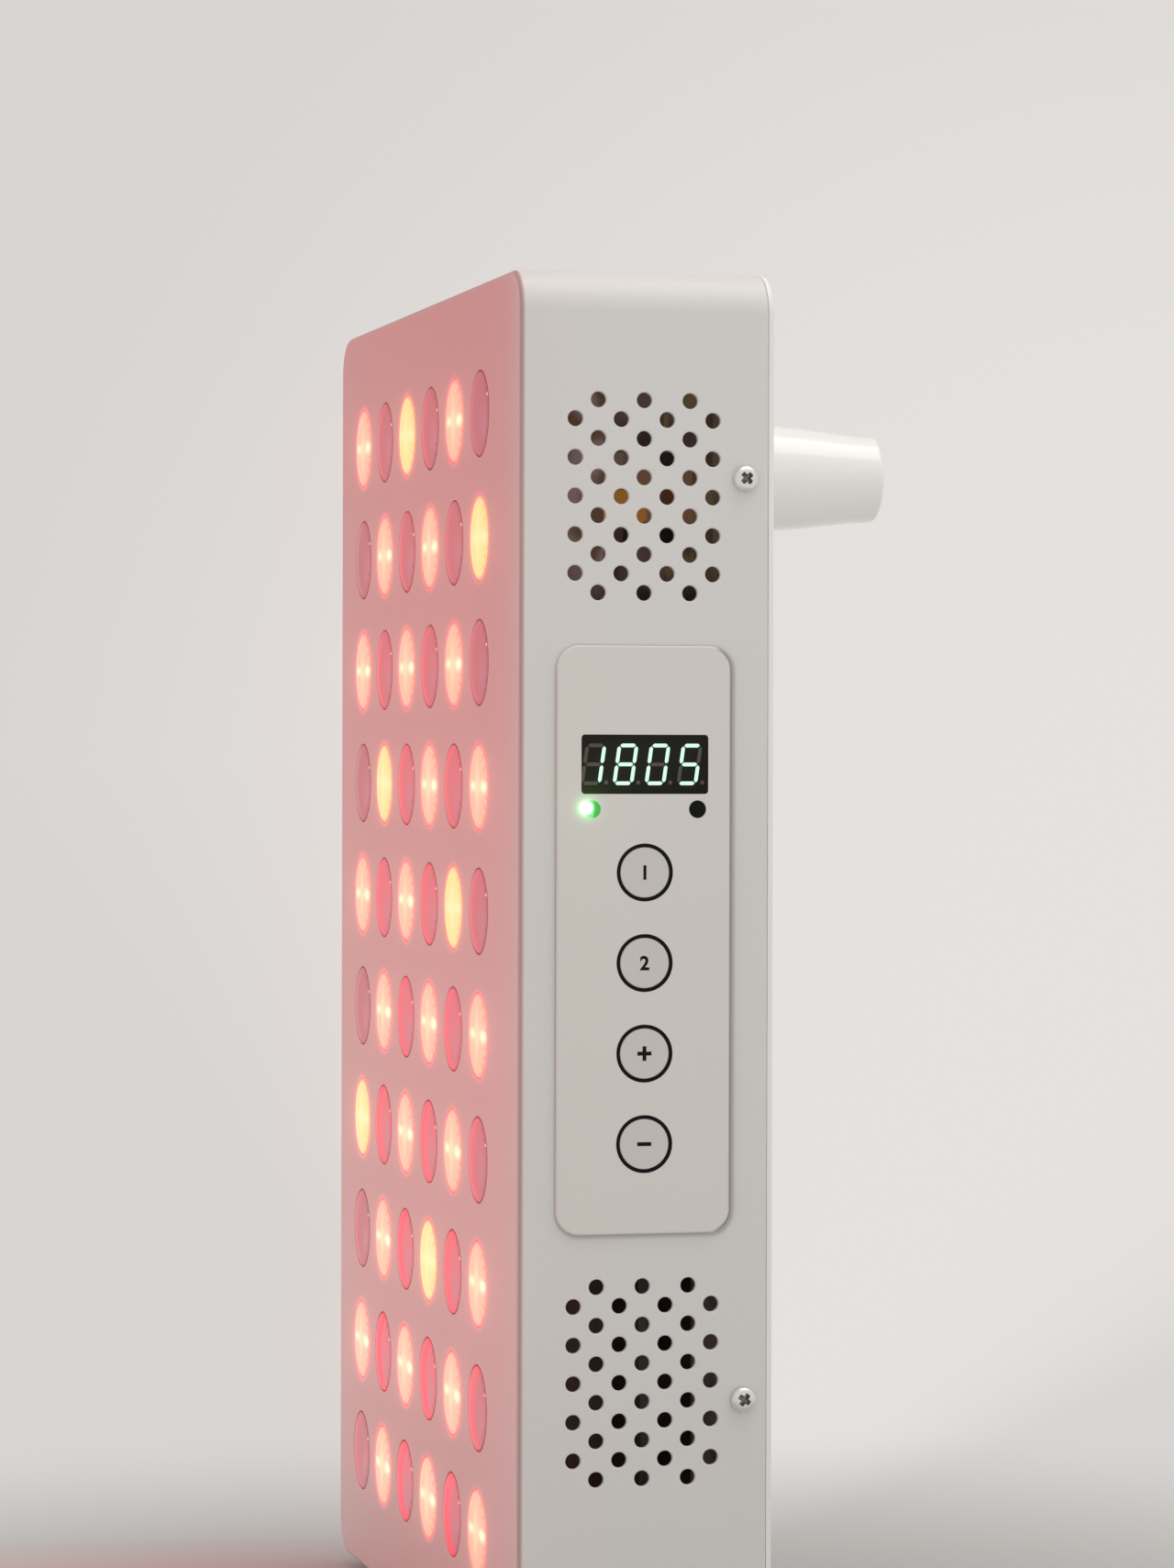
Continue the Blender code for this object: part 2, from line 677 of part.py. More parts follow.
def cover_holes():
    """Cutters for every hole through the back cover and its flanges."""
    through = SHEET + 2 * CUT_OVERRUN
    plate_y = BACK_Y - SHEET / 2
    cutters = []
    for rise in FAN_RISES.values():
        centre_z = CONTROL_Z + rise
        cutters.append(drill((0, plate_y, centre_z), "Y", FAN_BORE_DIAMETER, through, FAN_SIDES))
        for x, z in fan_corner_places():
            place = (x, plate_y, centre_z + z)
            cutters.append(drill(place, "Y", FAN_SCREW[2] + 2 * CLEARANCE, through, SMALL_ROUND_SIDES))
    for side in (-1, 1):
        for z in cover_screw_places():
            flange_x = side * (INNER_X - CLEARANCE - SHEET / 2)
            place = (flange_x, BACK_Y - COVER_SCREW_INSET, z)
            cutters.append(drill(place, "X", COVER_SCREW[2] + 2 * CLEARANCE, through, SMALL_ROUND_SIDES))
    for x, z in post_places():
        diameter = POST_SCREW[2] + 2 * CLEARANCE
        cutters.append(drill((x, plate_y, z), "Y", diameter, through, SMALL_ROUND_SIDES))
    low_y = plate_y - through / 2
    high_y = plate_y + through / 2
    for x, width, height in (
            (INLET_SIDE_OFFSET, INLET_BODY_WIDTH, INLET_BODY_HEIGHT),
            (SWITCH_SIDE_OFFSET, SWITCH_BODY_WIDTH, SWITCH_BODY_HEIGHT)):
        half_width = width / 2 + CLEARANCE
        half_height = height / 2 + CLEARANCE
        low = (x - half_width, low_y, MAINS_Z - half_height)
        high = (x + half_width, high_y, MAINS_Z + half_height)
        cutters.append(block(low, high))
    for x, z in inlet_screw_places():
        diameter = INLET_SCREW[2] + 2 * CLEARANCE
        cutters.append(drill((x, plate_y, z), "Y", diameter, through, SMALL_ROUND_SIDES))
    return gathered(cutters)


def post_places():
    """Centres of the rear posts, as (x, z)."""
    across = SIDE_X - POST_INSET
    return [(across, TOP_Z - POST_DROP), (-across, TOP_Z - POST_DROP)]


def fan_corner_places():
    """Screw places of a fan, from its centre."""
    reach = FAN_SCREW_PITCH / 2
    return [(u * reach, v * reach) for u in (-1, 1) for v in (-1, 1)]


def inlet_screw_places():
    """Screw places of the mains inlet, as (x, z)."""
    return [(INLET_SIDE_OFFSET + side * INLET_SCREW_PITCH / 2, MAINS_Z) for side in (-1, 1)]


def driver_centres():
    """Centres of the driver boards, as (x, z)."""
    across = SIDE_X - DRIVER_INSET
    return [(across, TOP_Z - DRIVER_DROP), (-across, TOP_Z - DRIVER_DROP)]


def driver_hole_places():
    """Centres of the standoffs under the driver boards, as (x, z)."""
    across = DRIVER_WIDTH / 2 - DRIVER_HOLE_INSET
    up = DRIVER_HEIGHT / 2 - DRIVER_HOLE_INSET
    places = []
    for x, z in driver_centres():
        places += [(x + u * across, z + v * up) for u in (-1, 1) for v in (-1, 1)]
    return places


def screw(size, centre, axis, sign=1):
    """Pan-head screw: the head's underside is at the centre, and the head points along the axis."""
    head_diameter, head_height, shank_diameter, shank_length = size
    head = head_diameter / 2
    shank = shank_diameter / 2
    profile = [
        (shank, -shank_length),
        (shank, 0),
        (head, 0),
        (head, head_height * SCREW_SHOULDER_SHARE),
        (head * SCREW_CROWN_SHARE, head_height)]
    profile = [(radius, sign * height) for radius, height in profile]
    return turned(profile, SMALL_ROUND_SIDES, centre, axis)


def rear_post():
    """Tapered post on +Y from its base at the origin, with a blind bore for its screw."""
    base = POST_BASE_DIAMETER / 2
    end = POST_END_DIAMETER / 2
    bore = POST_SCREW[2] / 2 + CLEARANCE
    profile = [(bore, POST_BORE_DEPTH), (bore, 0)]
    body = POST_LENGTH - POST_EDGE
    for station in range(POST_STATIONS + 1):
        height = body * station / POST_STATIONS
        share = (height / POST_LENGTH - POST_SHOULDER_SHARE) / POST_SLOPE_SHARE
        share = min(max(share, 0), 1)
        profile.append((end + (base - end) * (1 - share * share * (3 - 2 * share)), height))
    profile.append((end - POST_EDGE, POST_LENGTH))
    return turned(profile, POST_SIDES, (0, 0, 0), "Y")


def rubber_foot():
    """Push-in foot on +Z, with its stem through the case's floor."""
    radius = FOOT_DIAMETER / 2
    stem = FOOT_STEM_DIAMETER / 2
    top = FOOT_HEIGHT - CLEARANCE
    profile = [
        (radius - CLEARANCE, 0),
        (radius, CLEARANCE),
        (radius, top),
        (stem, top),
        (stem, FOOT_HEIGHT + FOOT_STEM_LENGTH)]
    return turned(profile, MEDIUM_ROUND_SIDES, (0, 0, 0), "Z")


def lens_array():
    """Moulded lens sheet: one tapered lens in each hole of the face."""
    low = (LED_FIRST_X - LENS_PLATE_MARGIN, LENS_PLATE_Y, LED_LAST_Z - LENS_PLATE_MARGIN)
    high_y = LENS_PLATE_Y + LENS_PLATE_THICKNESS
    high = (LED_LAST_X + LENS_PLATE_MARGIN, high_y, LED_FIRST_Z + LENS_PLATE_MARGIN)
    radius = LENS_DIAMETER / 2
    root = LENS_PLATE_THICKNESS / 2
    profile = [(radius, LENS_HEIGHT + root), (radius - LENS_TAPER, 0)]
    lenses = []
    for x, z in led_places():
        lenses.append(turned(profile, LENS_SIDES, (x, LENS_FRONT_Y, z), "Y"))
    return carved("lens_array", block(low, high), additions=[gathered(lenses)])


def led_board():
    """Aluminium-core board with one emitter behind each lens."""
    low = (LED_FIRST_X - LED_BOARD_MARGIN, LED_BOARD_Y, LED_LAST_Z - LED_BOARD_MARGIN)
    high_y = LED_BOARD_Y + LED_BOARD_THICKNESS
    high = (LED_LAST_X + LED_BOARD_MARGIN, high_y, LED_FIRST_Z + LED_BOARD_MARGIN)
    half = EMITTER_SIZE / 2
    root_y = LED_BOARD_Y + LED_BOARD_THICKNESS / 2
    emitters = []
    for x, z in led_places():
        emitters.append(block((x - half, EMITTER_Y, z - half), (x + half, root_y, z + half)))
    return carved("led_board", block(low, high), additions=[gathered(emitters)])


def heatsink():
    """Extruded heatsink with upright fins that end a gap before the fans."""
    left = LED_FIRST_X - HEATSINK_SIDE_MARGIN
    right = LED_LAST_X + HEATSINK_SIDE_MARGIN
    base_y = HEATSINK_Y + HEATSINK_BASE
    tip_y = FAN_FRONT_Y - FIN_GAP
    pitch = (right - left - FIN_THICKNESS) / (FIN_COUNT - 1)
    outline = [(left, HEATSINK_Y)]
    for index in range(FIN_COUNT):
        start = left + index * pitch
        fin = [(start, tip_y), (start + FIN_THICKNESS, tip_y)]
        if index > 0:
            fin.insert(0, (start, base_y))
        if index < FIN_COUNT - 1:
            fin.append((start + FIN_THICKNESS, base_y))
        outline += fin
    outline.append((right, HEATSINK_Y))
    return prism(outline, "Z", LED_LAST_Z - HEATSINK_END_MARGIN, LED_FIRST_Z + HEATSINK_END_MARGIN)


def control_overlay():
    """Raised plate on the control side, open for the window, the indicators and the keys."""
    outline = rounded_rectangle(
        (CONTROL_Y, CONTROL_Z), OVERLAY_WIDTH, OVERLAY_HEIGHT, OVERLAY_CORNER, CORNER_STEPS)
    plate = prism(outline, "X", OVERLAY_BACK_X, OVERLAY_FACE_X)
    low_x = OVERLAY_BACK_X - CUT_OVERRUN
    high_x = OVERLAY_FACE_X + CUT_OVERRUN
    centre_x = (low_x + high_x) / 2
    cutters = [window_block(CLEARANCE, low_x, high_x)]
    for y, z in key_places():
        diameter = KEY_DIAMETER + 2 * CLEARANCE
        cutters.append(drill((centre_x, y, z), "X", diameter, high_x - low_x, KEY_SIDES))
    for y, z in indicator_places():
        diameter = INDICATOR_DIAMETER + 2 * CLEARANCE
        cutters.append(drill((centre_x, y, z), "X", diameter, high_x - low_x, MEDIUM_ROUND_SIDES))
    return carved("control_overlay", plate, cuts=[gathered(cutters)])


def key():
    """Key on +X: a disc flush with the overlay at the origin, on a stem towards its switch."""
    disc = KEY_DIAMETER / 2
    stem = KEY_STEM_DIAMETER / 2
    plunger_x = BOARD_FACE_X + TACT_PLUNGER_TOP
    stem_end = plunger_x + KEY_TRAVEL + CLEARANCE - OVERLAY_FACE_X
    base = turned([(stem, stem_end), (stem, -KEY_THICKNESS / 2)], SMALL_ROUND_SIDES, (0, 0, 0), "X")
    top = turned([(disc, -KEY_THICKNESS), (disc, 0)], KEY_SIDES, (0, 0, 0), "X")
    return carved("key", top, additions=[base])


def indicator():
    """Light pipe on +X, crowned at the overlay's face at the origin."""
    radius = INDICATOR_DIAMETER / 2
    end = BOARD_FACE_X + CLEARANCE - OVERLAY_FACE_X
    profile = [(radius, end), (radius, 0), (radius - INDICATOR_CROWN, INDICATOR_CROWN)]
    return turned(profile, MEDIUM_ROUND_SIDES, (0, 0, 0), "X")


def control_board():
    """Board behind the control side, with a tact switch under each key."""
    half_width = BOARD_WIDTH / 2
    half_height = BOARD_HEIGHT / 2
    low = (BOARD_BACK_X, CONTROL_Y - half_width, CONTROL_Z - half_height)
    high = (BOARD_FACE_X, CONTROL_Y + half_width, CONTROL_Z + half_height)
    root_x = BOARD_FACE_X - BOARD_THICKNESS / 2
    half = TACT_SIZE / 2
    cap_x = BOARD_FACE_X + TACT_HEIGHT
    top_x = BOARD_FACE_X + TACT_PLUNGER_TOP
    switches = []
    plungers = []
    for y, z in key_places():
        switches.append(block((root_x, y - half, z - half), (cap_x, y + half, z + half)))
        plunger_root = cap_x - TACT_HEIGHT / 2
        centre = ((plunger_root + top_x) / 2, y, z)
        plungers.append(drill(centre, "X", TACT_PLUNGER_DIAMETER, top_x - plunger_root, SMALL_ROUND_SIDES))
    return carved("control_board", block(low, high), additions=[gathered(switches), gathered(plungers)])


def display_module():
    """Block of the four-digit display, on the control board and through the case's wall."""
    low_x = BOARD_FACE_X + CLEARANCE
    return window_block(0, low_x, OVERLAY_BACK_X - CLEARANCE)


def display_window():
    """Dark pane over the display, just below the overlay's face."""
    return window_block(0, OVERLAY_FACE_X - ADHESIVE - WINDOW_THICKNESS, OVERLAY_FACE_X - ADHESIVE)


def driver_board(x, z):
    """Driver's circuit board on its standoffs."""
    low = (x - DRIVER_WIDTH / 2, DRIVER_FACE_Y, z - DRIVER_HEIGHT / 2)
    high = (x + DRIVER_WIDTH / 2, DRIVER_FACE_Y + BOARD_THICKNESS, z + DRIVER_HEIGHT / 2)
    return block(low, high)


def transformer(x, z):
    """Taped transformer on a driver board, with its core standing above the winding."""
    back_y = DRIVER_FACE_Y - CLEARANCE
    front_y = back_y - TRANSFORMER_THICKNESS
    middle_z = z + TRANSFORMER_RISE
    half_width = TRANSFORMER_WIDTH / 2
    half_height = TRANSFORMER_HEIGHT / 2
    core_half = half_height * TRANSFORMER_CORE_SHARE
    inset = TRANSFORMER_WIDTH * WINDING_INSET_SHARE
    winding_low = (x - half_width + inset, front_y + inset, middle_z - half_height)
    winding = block(winding_low, (x + half_width - inset, back_y, middle_z + half_height))
    core = block((x - half_width, front_y, middle_z - core_half),
                 (x + half_width, back_y - inset, middle_z + core_half))
    return carved("transformer", winding, additions=[core])


def capacitor(x, z):
    """Round capacitor standing on a driver board."""
    back_y = DRIVER_FACE_Y - CLEARANCE
    centre = (x, back_y - CAPACITOR_LENGTH / 2, z - CAPACITOR_DROP)
    return drill(centre, "Y", CAPACITOR_DIAMETER, CAPACITOR_LENGTH, CAPACITOR_SIDES)


def terminal_block():
    """Barrier terminal block with ribs between its poles."""
    left = TERMINAL_SIDE_OFFSET - TERMINAL_WIDTH / 2
    bottom = TOP_Z - TERMINAL_DROP - TERMINAL_HEIGHT / 2
    back_y = FAN_FACE_Y
    front_y = back_y - TERMINAL_THICKNESS
    pitch = (TERMINAL_WIDTH - TERMINAL_RIB) / TERMINAL_POLES
    outline = [(left, back_y)]
    for index in range(TERMINAL_POLES + 1):
        start = left + index * pitch
        rib = [(start, front_y), (start + TERMINAL_RIB, front_y)]
        if index > 0:
            rib.insert(0, (start, front_y + TERMINAL_NOTCH))
        if index < TERMINAL_POLES:
            rib.append((start + TERMINAL_RIB, front_y + TERMINAL_NOTCH))
        outline += rib
    outline.append((left + TERMINAL_WIDTH, back_y))
    return prism(outline, "Z", bottom, bottom + TERMINAL_HEIGHT)


def power_inlet():
    """Mains inlet: flange outside the cover, body inside, and a socket with two cut corners."""
    x = INLET_SIDE_OFFSET
    flange_y = BACK_Y + CLEARANCE
    face_y = flange_y + INLET_FLANGE_THICKNESS
    half_width = INLET_FLANGE_WIDTH / 2
    half_height = INLET_FLANGE_HEIGHT / 2
    tip_half = half_height / 2
    flange_outline = [
        (x - half_width, MAINS_Z - tip_half),
        (x - INLET_BODY_WIDTH / 2, MAINS_Z - half_height),
        (x + INLET_BODY_WIDTH / 2, MAINS_Z - half_height),
        (x + half_width, MAINS_Z - tip_half),
        (x + half_width, MAINS_Z + tip_half),
        (x + INLET_BODY_WIDTH / 2, MAINS_Z + half_height),
        (x - INLET_BODY_WIDTH / 2, MAINS_Z + half_height),
        (x - half_width, MAINS_Z + tip_half)]
    flange = prism(flange_outline, "Y", flange_y, face_y)
    root_y = flange_y + INLET_FLANGE_THICKNESS / 2
    body = block(
        (x - INLET_BODY_WIDTH / 2, BACK_Y - INLET_BODY_LENGTH, MAINS_Z - INLET_BODY_HEIGHT / 2),
        (x + INLET_BODY_WIDTH / 2, root_y, MAINS_Z + INLET_BODY_HEIGHT / 2))
    socket_half = INLET_SOCKET_WIDTH / 2
    socket_rise = INLET_SOCKET_HEIGHT / 2
    cut = INLET_SOCKET_CHAMFER
    socket_outline = [
        (x - socket_half, MAINS_Z - socket_rise),
        (x + socket_half, MAINS_Z - socket_rise),
        (x + socket_half, MAINS_Z + socket_rise - cut),
        (x + socket_half - cut, MAINS_Z + socket_rise),
        (x - socket_half + cut, MAINS_Z + socket_rise),
        (x - socket_half, MAINS_Z + socket_rise - cut)]
    floor_y = face_y - INLET_SOCKET_DEPTH
    cutters = [prism(socket_outline, "Y", floor_y, face_y + CUT_OVERRUN)]
    for screw_x, z in inlet_screw_places():
        centre = (screw_x, (flange_y + face_y) / 2, z)
        length = INLET_FLANGE_THICKNESS + 2 * CUT_OVERRUN
        cutters.append(drill(centre, "Y", INLET_SCREW[2] + 2 * CLEARANCE, length, SMALL_ROUND_SIDES))
    slots = []
    for pin_x, pin_z in pin_places():
        half = PIN_WIDTH / 2 + CLEARANCE
        rise = PIN_HEIGHT / 2 + CLEARANCE
        low = (pin_x - half, BACK_Y - INLET_BODY_LENGTH - CUT_OVERRUN, pin_z - rise)
        slots.append(block(low, (pin_x + half, floor_y + CUT_OVERRUN, pin_z + rise)))
    return carved("power_inlet", flange, additions=[body], cuts=[gathered(cutters), gathered(slots)])


def pin_places():
    """Centres of the inlet's live, neutral and earth pins, as (x, z)."""
    x = INLET_SIDE_OFFSET
    return [
        (x - PIN_SPACING, MAINS_Z - PIN_OFFSET),
        (x + PIN_SPACING, MAINS_Z - PIN_OFFSET),
        (x, MAINS_Z + PIN_OFFSET)]


def inlet_pin(x, z):
    """Flat contact pin with a narrowed tip, from its rear tab to inside the socket."""
    half = PIN_WIDTH / 2
    rise = PIN_HEIGHT / 2
    back_y = BACK_Y - INLET_BODY_LENGTH - PIN_TAB
    floor_y = BACK_Y + CLEARANCE + INLET_FLANGE_THICKNESS - INLET_SOCKET_DEPTH
    tip_y = floor_y + PIN_REACH
    shoulder_y = tip_y - half
    outline = [
        (back_y, z - rise),
        (shoulder_y, z - rise),
        (tip_y, z - rise / 2),
        (tip_y, z + rise / 2),
        (shoulder_y, z + rise),
        (back_y, z + rise)]
    return prism(outline, "X", x - half, x + half)


def switch_frame():
    """Snap-in frame of the rocker switch, with its well."""
    x = SWITCH_SIDE_OFFSET
    bezel_y = BACK_Y + CLEARANCE
    face_y = bezel_y + SWITCH_BEZEL_THICKNESS
    bezel = block(
        (x - SWITCH_BEZEL_WIDTH / 2, bezel_y, MAINS_Z - SWITCH_BEZEL_HEIGHT / 2),
        (x + SWITCH_BEZEL_WIDTH / 2, face_y, MAINS_Z + SWITCH_BEZEL_HEIGHT / 2))
    body = block(
        (x - SWITCH_BODY_WIDTH / 2, BACK_Y - SWITCH_BODY_LENGTH, MAINS_Z - SWITCH_BODY_HEIGHT / 2),
        (x + SWITCH_BODY_WIDTH / 2, bezel_y + SWITCH_BEZEL_THICKNESS / 2, MAINS_Z + SWITCH_BODY_HEIGHT / 2))
    half_width = SWITCH_BODY_WIDTH / 2 - SWITCH_WALL
    half_height = SWITCH_BODY_HEIGHT / 2 - SWITCH_WALL
    well = block(
        (x - half_width, face_y - SWITCH_WELL_DEPTH, MAINS_Z - half_height),
        (x + half_width, face_y + CUT_OVERRUN, MAINS_Z + half_height))
    return carved("switch_frame", bezel, additions=[body], cuts=[well])


def switch_rocker():
    """Rocker about X at the origin, resting with its upper end pressed in."""
    half_width = SWITCH_BODY_WIDTH / 2 - SWITCH_WALL - CLEARANCE
    reach = ROCKER_HALF_LENGTH
    outline = [
        (ROCKER_END_RISE, -reach),
        (ROCKER_MIDDLE_RISE, 0),
        (ROCKER_END_RISE, reach),
        (0, reach),
        (-ROCKER_KEEL, reach * ROCKER_KEEL_SHARE),
        (-ROCKER_KEEL, -reach * ROCKER_KEEL_SHARE),
        (0, -reach)]
    shape = prism(outline, "X", -half_width, half_width)
    shape.transform(Matrix.Rotation(ROCKER_TILT, 4, "X"))
    return shape


def fan_frame():
    """Square fan frame behind the origin, with its motor plate on four struts."""
    half = FAN_SIZE / 2
    frame = block((-half, -FAN_THICKNESS, -half), (half, 0, half))
    through = FAN_THICKNESS + 2 * CUT_OVERRUN
    bore = drill((0, -FAN_THICKNESS / 2, 0), "Y", FAN_BORE_DIAMETER, through, FAN_SIDES)
    body = carved("fan_body", frame, cuts=[bore])
    base = bmesh.new()
    base.from_mesh(body)
    bpy.data.meshes.remove(body)
    plate_y = -FAN_THICKNESS + FAN_MOTOR_PLATE / 2
    plate = drill((0, plate_y, 0), "Y", FAN_HUB_DIAMETER, FAN_MOTOR_PLATE, FAN_SIDES)
    reach = (FAN_BORE_DIAMETER + FAN_SIZE) / 4
    strut = FAN_STRUT_WIDTH / 2
    low_y = -FAN_THICKNESS + FAN_MOTOR_PLATE / 4
    high_y = -FAN_MOTOR_PLATE / 4 + FAN_MOTOR_PLATE - FAN_THICKNESS
    across = block((-reach, low_y, -strut), (reach, high_y, strut))
    upright = block((-strut, low_y, -reach), (strut, high_y, reach))
    shaft_hole = FAN_SHAFT_DIAMETER + 2 * CLEARANCE
    cutters = [drill((0, plate_y, 0), "Y", shaft_hole, through / 2, SMALL_ROUND_SIDES)]
    for x, z in fan_corner_places():
        diameter = FAN_SCREW[2] + 2 * CLEARANCE
        cutters.append(drill((x, -FAN_THICKNESS / 2, z), "Y", diameter, through, SMALL_ROUND_SIDES))
    return carved("fan_frame", base, additions=[plate, across, upright], cuts=[gathered(cutters)])


def fan_rotor():
    """Fan rotor about Y: a hub with its shaft, and swept blades."""
    hub = FAN_HUB_DIAMETER / 2
    shaft = FAN_SHAFT_DIAMETER / 2
    hub_back = -FAN_THICKNESS + FAN_MOTOR_PLATE + CLEARANCE
    profile = [
        (shaft, -FAN_THICKNESS + CLEARANCE),
        (shaft, hub_back),
        (hub, hub_back),
        (hub, -FAN_HUB_RECESS - CLEARANCE),
        (hub - FAN_HUB_RECESS, -FAN_HUB_RECESS + CLEARANCE)]
    body = turned(profile, FAN_SIDES, (0, 0, 0), "Y")
    blades = [fan_blade(2 * math.pi * index / FAN_BLADES) for index in range(FAN_BLADES)]
    return carved("fan_rotor", body, additions=[gathered(blades)])


def fan_blade(start_angle):
    """One blade: at each radius it climbs in steps from low to high along an arc of the circle."""
    tip = FAN_BORE_DIAMETER / 2 - FAN_TIP_CLEARANCE
    root = FAN_HUB_DIAMETER / 2 - BLADE_THICKNESS
    arc = 2 * math.pi / FAN_BLADES * BLADE_ARC_SHARE
    lower = -FAN_THICKNESS * BLADE_LOW_SHARE
    upper = -FAN_THICKNESS * BLADE_HIGH_SHARE
    rings = []
    for radius in (root, (root + tip) / 2, tip):
        under = []
        for step in range(BLADE_STEPS + 1):
            share = step / BLADE_STEPS
            angle = start_angle + arc * (2 * share - 1)
            y = lower + (upper - lower) * share
            under.append(Vector((radius * math.cos(angle), y, radius * math.sin(angle))))
        over = [point + Vector((0, BLADE_THICKNESS, 0)) for point in reversed(under)]
        rings.append(under + over)
    shape = lofted(rings)
    bmesh.ops.triangulate(shape, faces=shape.faces)
    return shape


def fan_guard():
    """Wire guard before the origin: rings on four arms, with an eyelet at each corner."""
    wire = GUARD_WIRE / 2
    ring_y = GUARD_STANDOFF + wire
    rings = []
    for index in range(GUARD_RINGS):
        share = index / (GUARD_RINGS - 1)
        radius = GUARD_INNER_RADIUS + (GUARD_OUTER_RADIUS - GUARD_INNER_RADIUS) * share
        path = [(u, ring_y, v) for u, v in circle(radius, GUARD_SEGMENTS)]
        rings.append(tube(path, wire, WIRE_SIDES, closed=True))
    corner = FAN_SCREW_PITCH / math.sqrt(2)
    eyelet = GUARD_EYELET_DIAMETER / 2
    hole = FAN_SCREW[2] / 2 + CLEARANCE
    arms = []
    eyelets = []
    for index in range(4):
        angle = math.pi / 4 + index * math.pi / 2
        stations = (
            (GUARD_INNER_RADIUS - GUARD_WIRE, ring_y - wire / 2),
            (GUARD_OUTER_RADIUS + GUARD_WIRE, ring_y - wire / 2),
            (corner - (eyelet + hole) / 2, GUARD_EYELET_THICKNESS / 2 + wire / 2))
        path = [(radius * math.cos(angle), y, radius * math.sin(angle)) for radius, y in stations]
        arms.append(tube(path, wire, WIRE_SIDES))
        centre = (corner * math.cos(angle), 0, corner * math.sin(angle))
        eyelets.append(eyelet_plate(centre, eyelet, hole))
    base = gathered(rings)
    return carved("fan_guard", base, additions=[gathered(arms), gathered(eyelets)])


def eyelet_plate(centre, outer, inner):
    """Flat washer whose underside is at the centre."""
    middle = (centre[0], centre[1] + GUARD_EYELET_THICKNESS / 2, centre[2])
    disc = drill(middle, "Y", 2 * outer, GUARD_EYELET_THICKNESS, SMALL_ROUND_SIDES)
    opening = drill(middle, "Y", 2 * inner, GUARD_EYELET_THICKNESS + CUT_OVERRUN, SMALL_ROUND_SIDES)
    washer = carved("washer", disc, cuts=[opening])
    shape = bmesh.new()
    shape.from_mesh(washer)
    bpy.data.meshes.remove(washer)
    return shape


def mains_harness():
    """Mains lead: out of the inlet, up midway between the fins and the lower fan, to the terminals."""
    x = INLET_SIDE_OFFSET
    slot_y = FAN_FRONT_Y - FIN_GAP / 2
    start_y = BACK_Y - INLET_BODY_LENGTH - PIN_TAB - CLEARANCE
    start_z = MAINS_Z + PIN_OFFSET
    terminal_z = TOP_Z - TERMINAL_DROP - TERMINAL_HEIGHT / 2
    terminal_y = FAN_FACE_Y - TERMINAL_THICKNESS / 2
    fan_low_z = CONTROL_Z - GRILLE_OFFSET - FAN_SIZE / 2
    fan_top_z = CONTROL_Z - GRILLE_OFFSET + FAN_SIZE / 2
    points = [
        (x, start_y, start_z),
        (x, slot_y + 2 * MAINS_LEAD_RADIUS, start_z),
        (x, slot_y, start_z + 2 * MAINS_LEAD_RADIUS),
        (x, slot_y, fan_low_z),
        (x, slot_y, (fan_low_z + fan_top_z) / 2),
        (x, slot_y, fan_top_z),
        (x, slot_y, fan_top_z + 4 * MAINS_LEAD_RADIUS),
        (x, terminal_y, terminal_z - 4 * MAINS_LEAD_RADIUS),
        (x, terminal_y, terminal_z - CLEARANCE)]
    return tube(smooth_route(points, LEAD_STEPS), MAINS_LEAD_RADIUS, LEAD_SIDES)


def control_harness():
    """Lead from the terminals to the control board."""
    z = TOP_Z - TERMINAL_DROP
    lead_y = FAN_FACE_Y - CONTROL_LEAD_INSET
    end_y = CONTROL_Y + BOARD_WIDTH / 2 - CONTROL_LEAD_END_INSET
    start_x = TERMINAL_SIDE_OFFSET + TERMINAL_WIDTH / 2 + CLEARANCE
    end_x = BOARD_BACK_X - CLEARANCE
    span = end_x - start_x
    points = [
        (start_x, lead_y, z),
        (start_x + span / 4, lead_y, z),
        (start_x + span / 2, lead_y, z),
        (start_x + span * 3 / 4, (lead_y + end_y) / 2, z),
        (end_x - CONTROL_LEAD_RADIUS * 3, end_y, z),
        (end_x, end_y, z)]
    return tube(smooth_route(points, LEAD_STEPS), CONTROL_LEAD_RADIUS, LEAD_SIDES)


def led_harness():
    """LED lead: from a driver board down the control side, and forward to the LED board's edge."""
    driver_x, driver_z = driver_centres()[0]
    start_z = driver_z - DRIVER_HEIGHT / 2 - CLEARANCE
    lead_x = SIDE_X - LED_LEAD_INSET
    lead_y = DRIVER_FACE_Y - LED_LEAD_DROP
    low_z = BOTTOM_Z + LED_LEAD_RISE
    end_x = LED_LAST_X + LED_BOARD_MARGIN + CLEARANCE
    end_y = HEATSINK_Y - CLEARANCE - LED_LEAD_RADIUS
    span = start_z - low_z
    points = [
        (driver_x, DRIVER_FACE_Y + BOARD_THICKNESS / 2, start_z),
        (driver_x, DRIVER_FACE_Y, start_z - LED_LEAD_BEND),
        (lead_x, lead_y, start_z - 3 * LED_LEAD_BEND),
        (lead_x, lead_y, low_z + span / 2),
        (lead_x, lead_y, low_z + span / 4),
        (lead_x, lead_y, low_z + LED_LEAD_BEND),
        (lead_x, (lead_y + end_y) / 2, low_z),
        (end_x + LED_LEAD_RADIUS * 2, end_y, low_z),
        (end_x, end_y, low_z)]
    return tube(smooth_route(points, LEAD_STEPS), LED_LEAD_RADIUS, LEAD_SIDES)


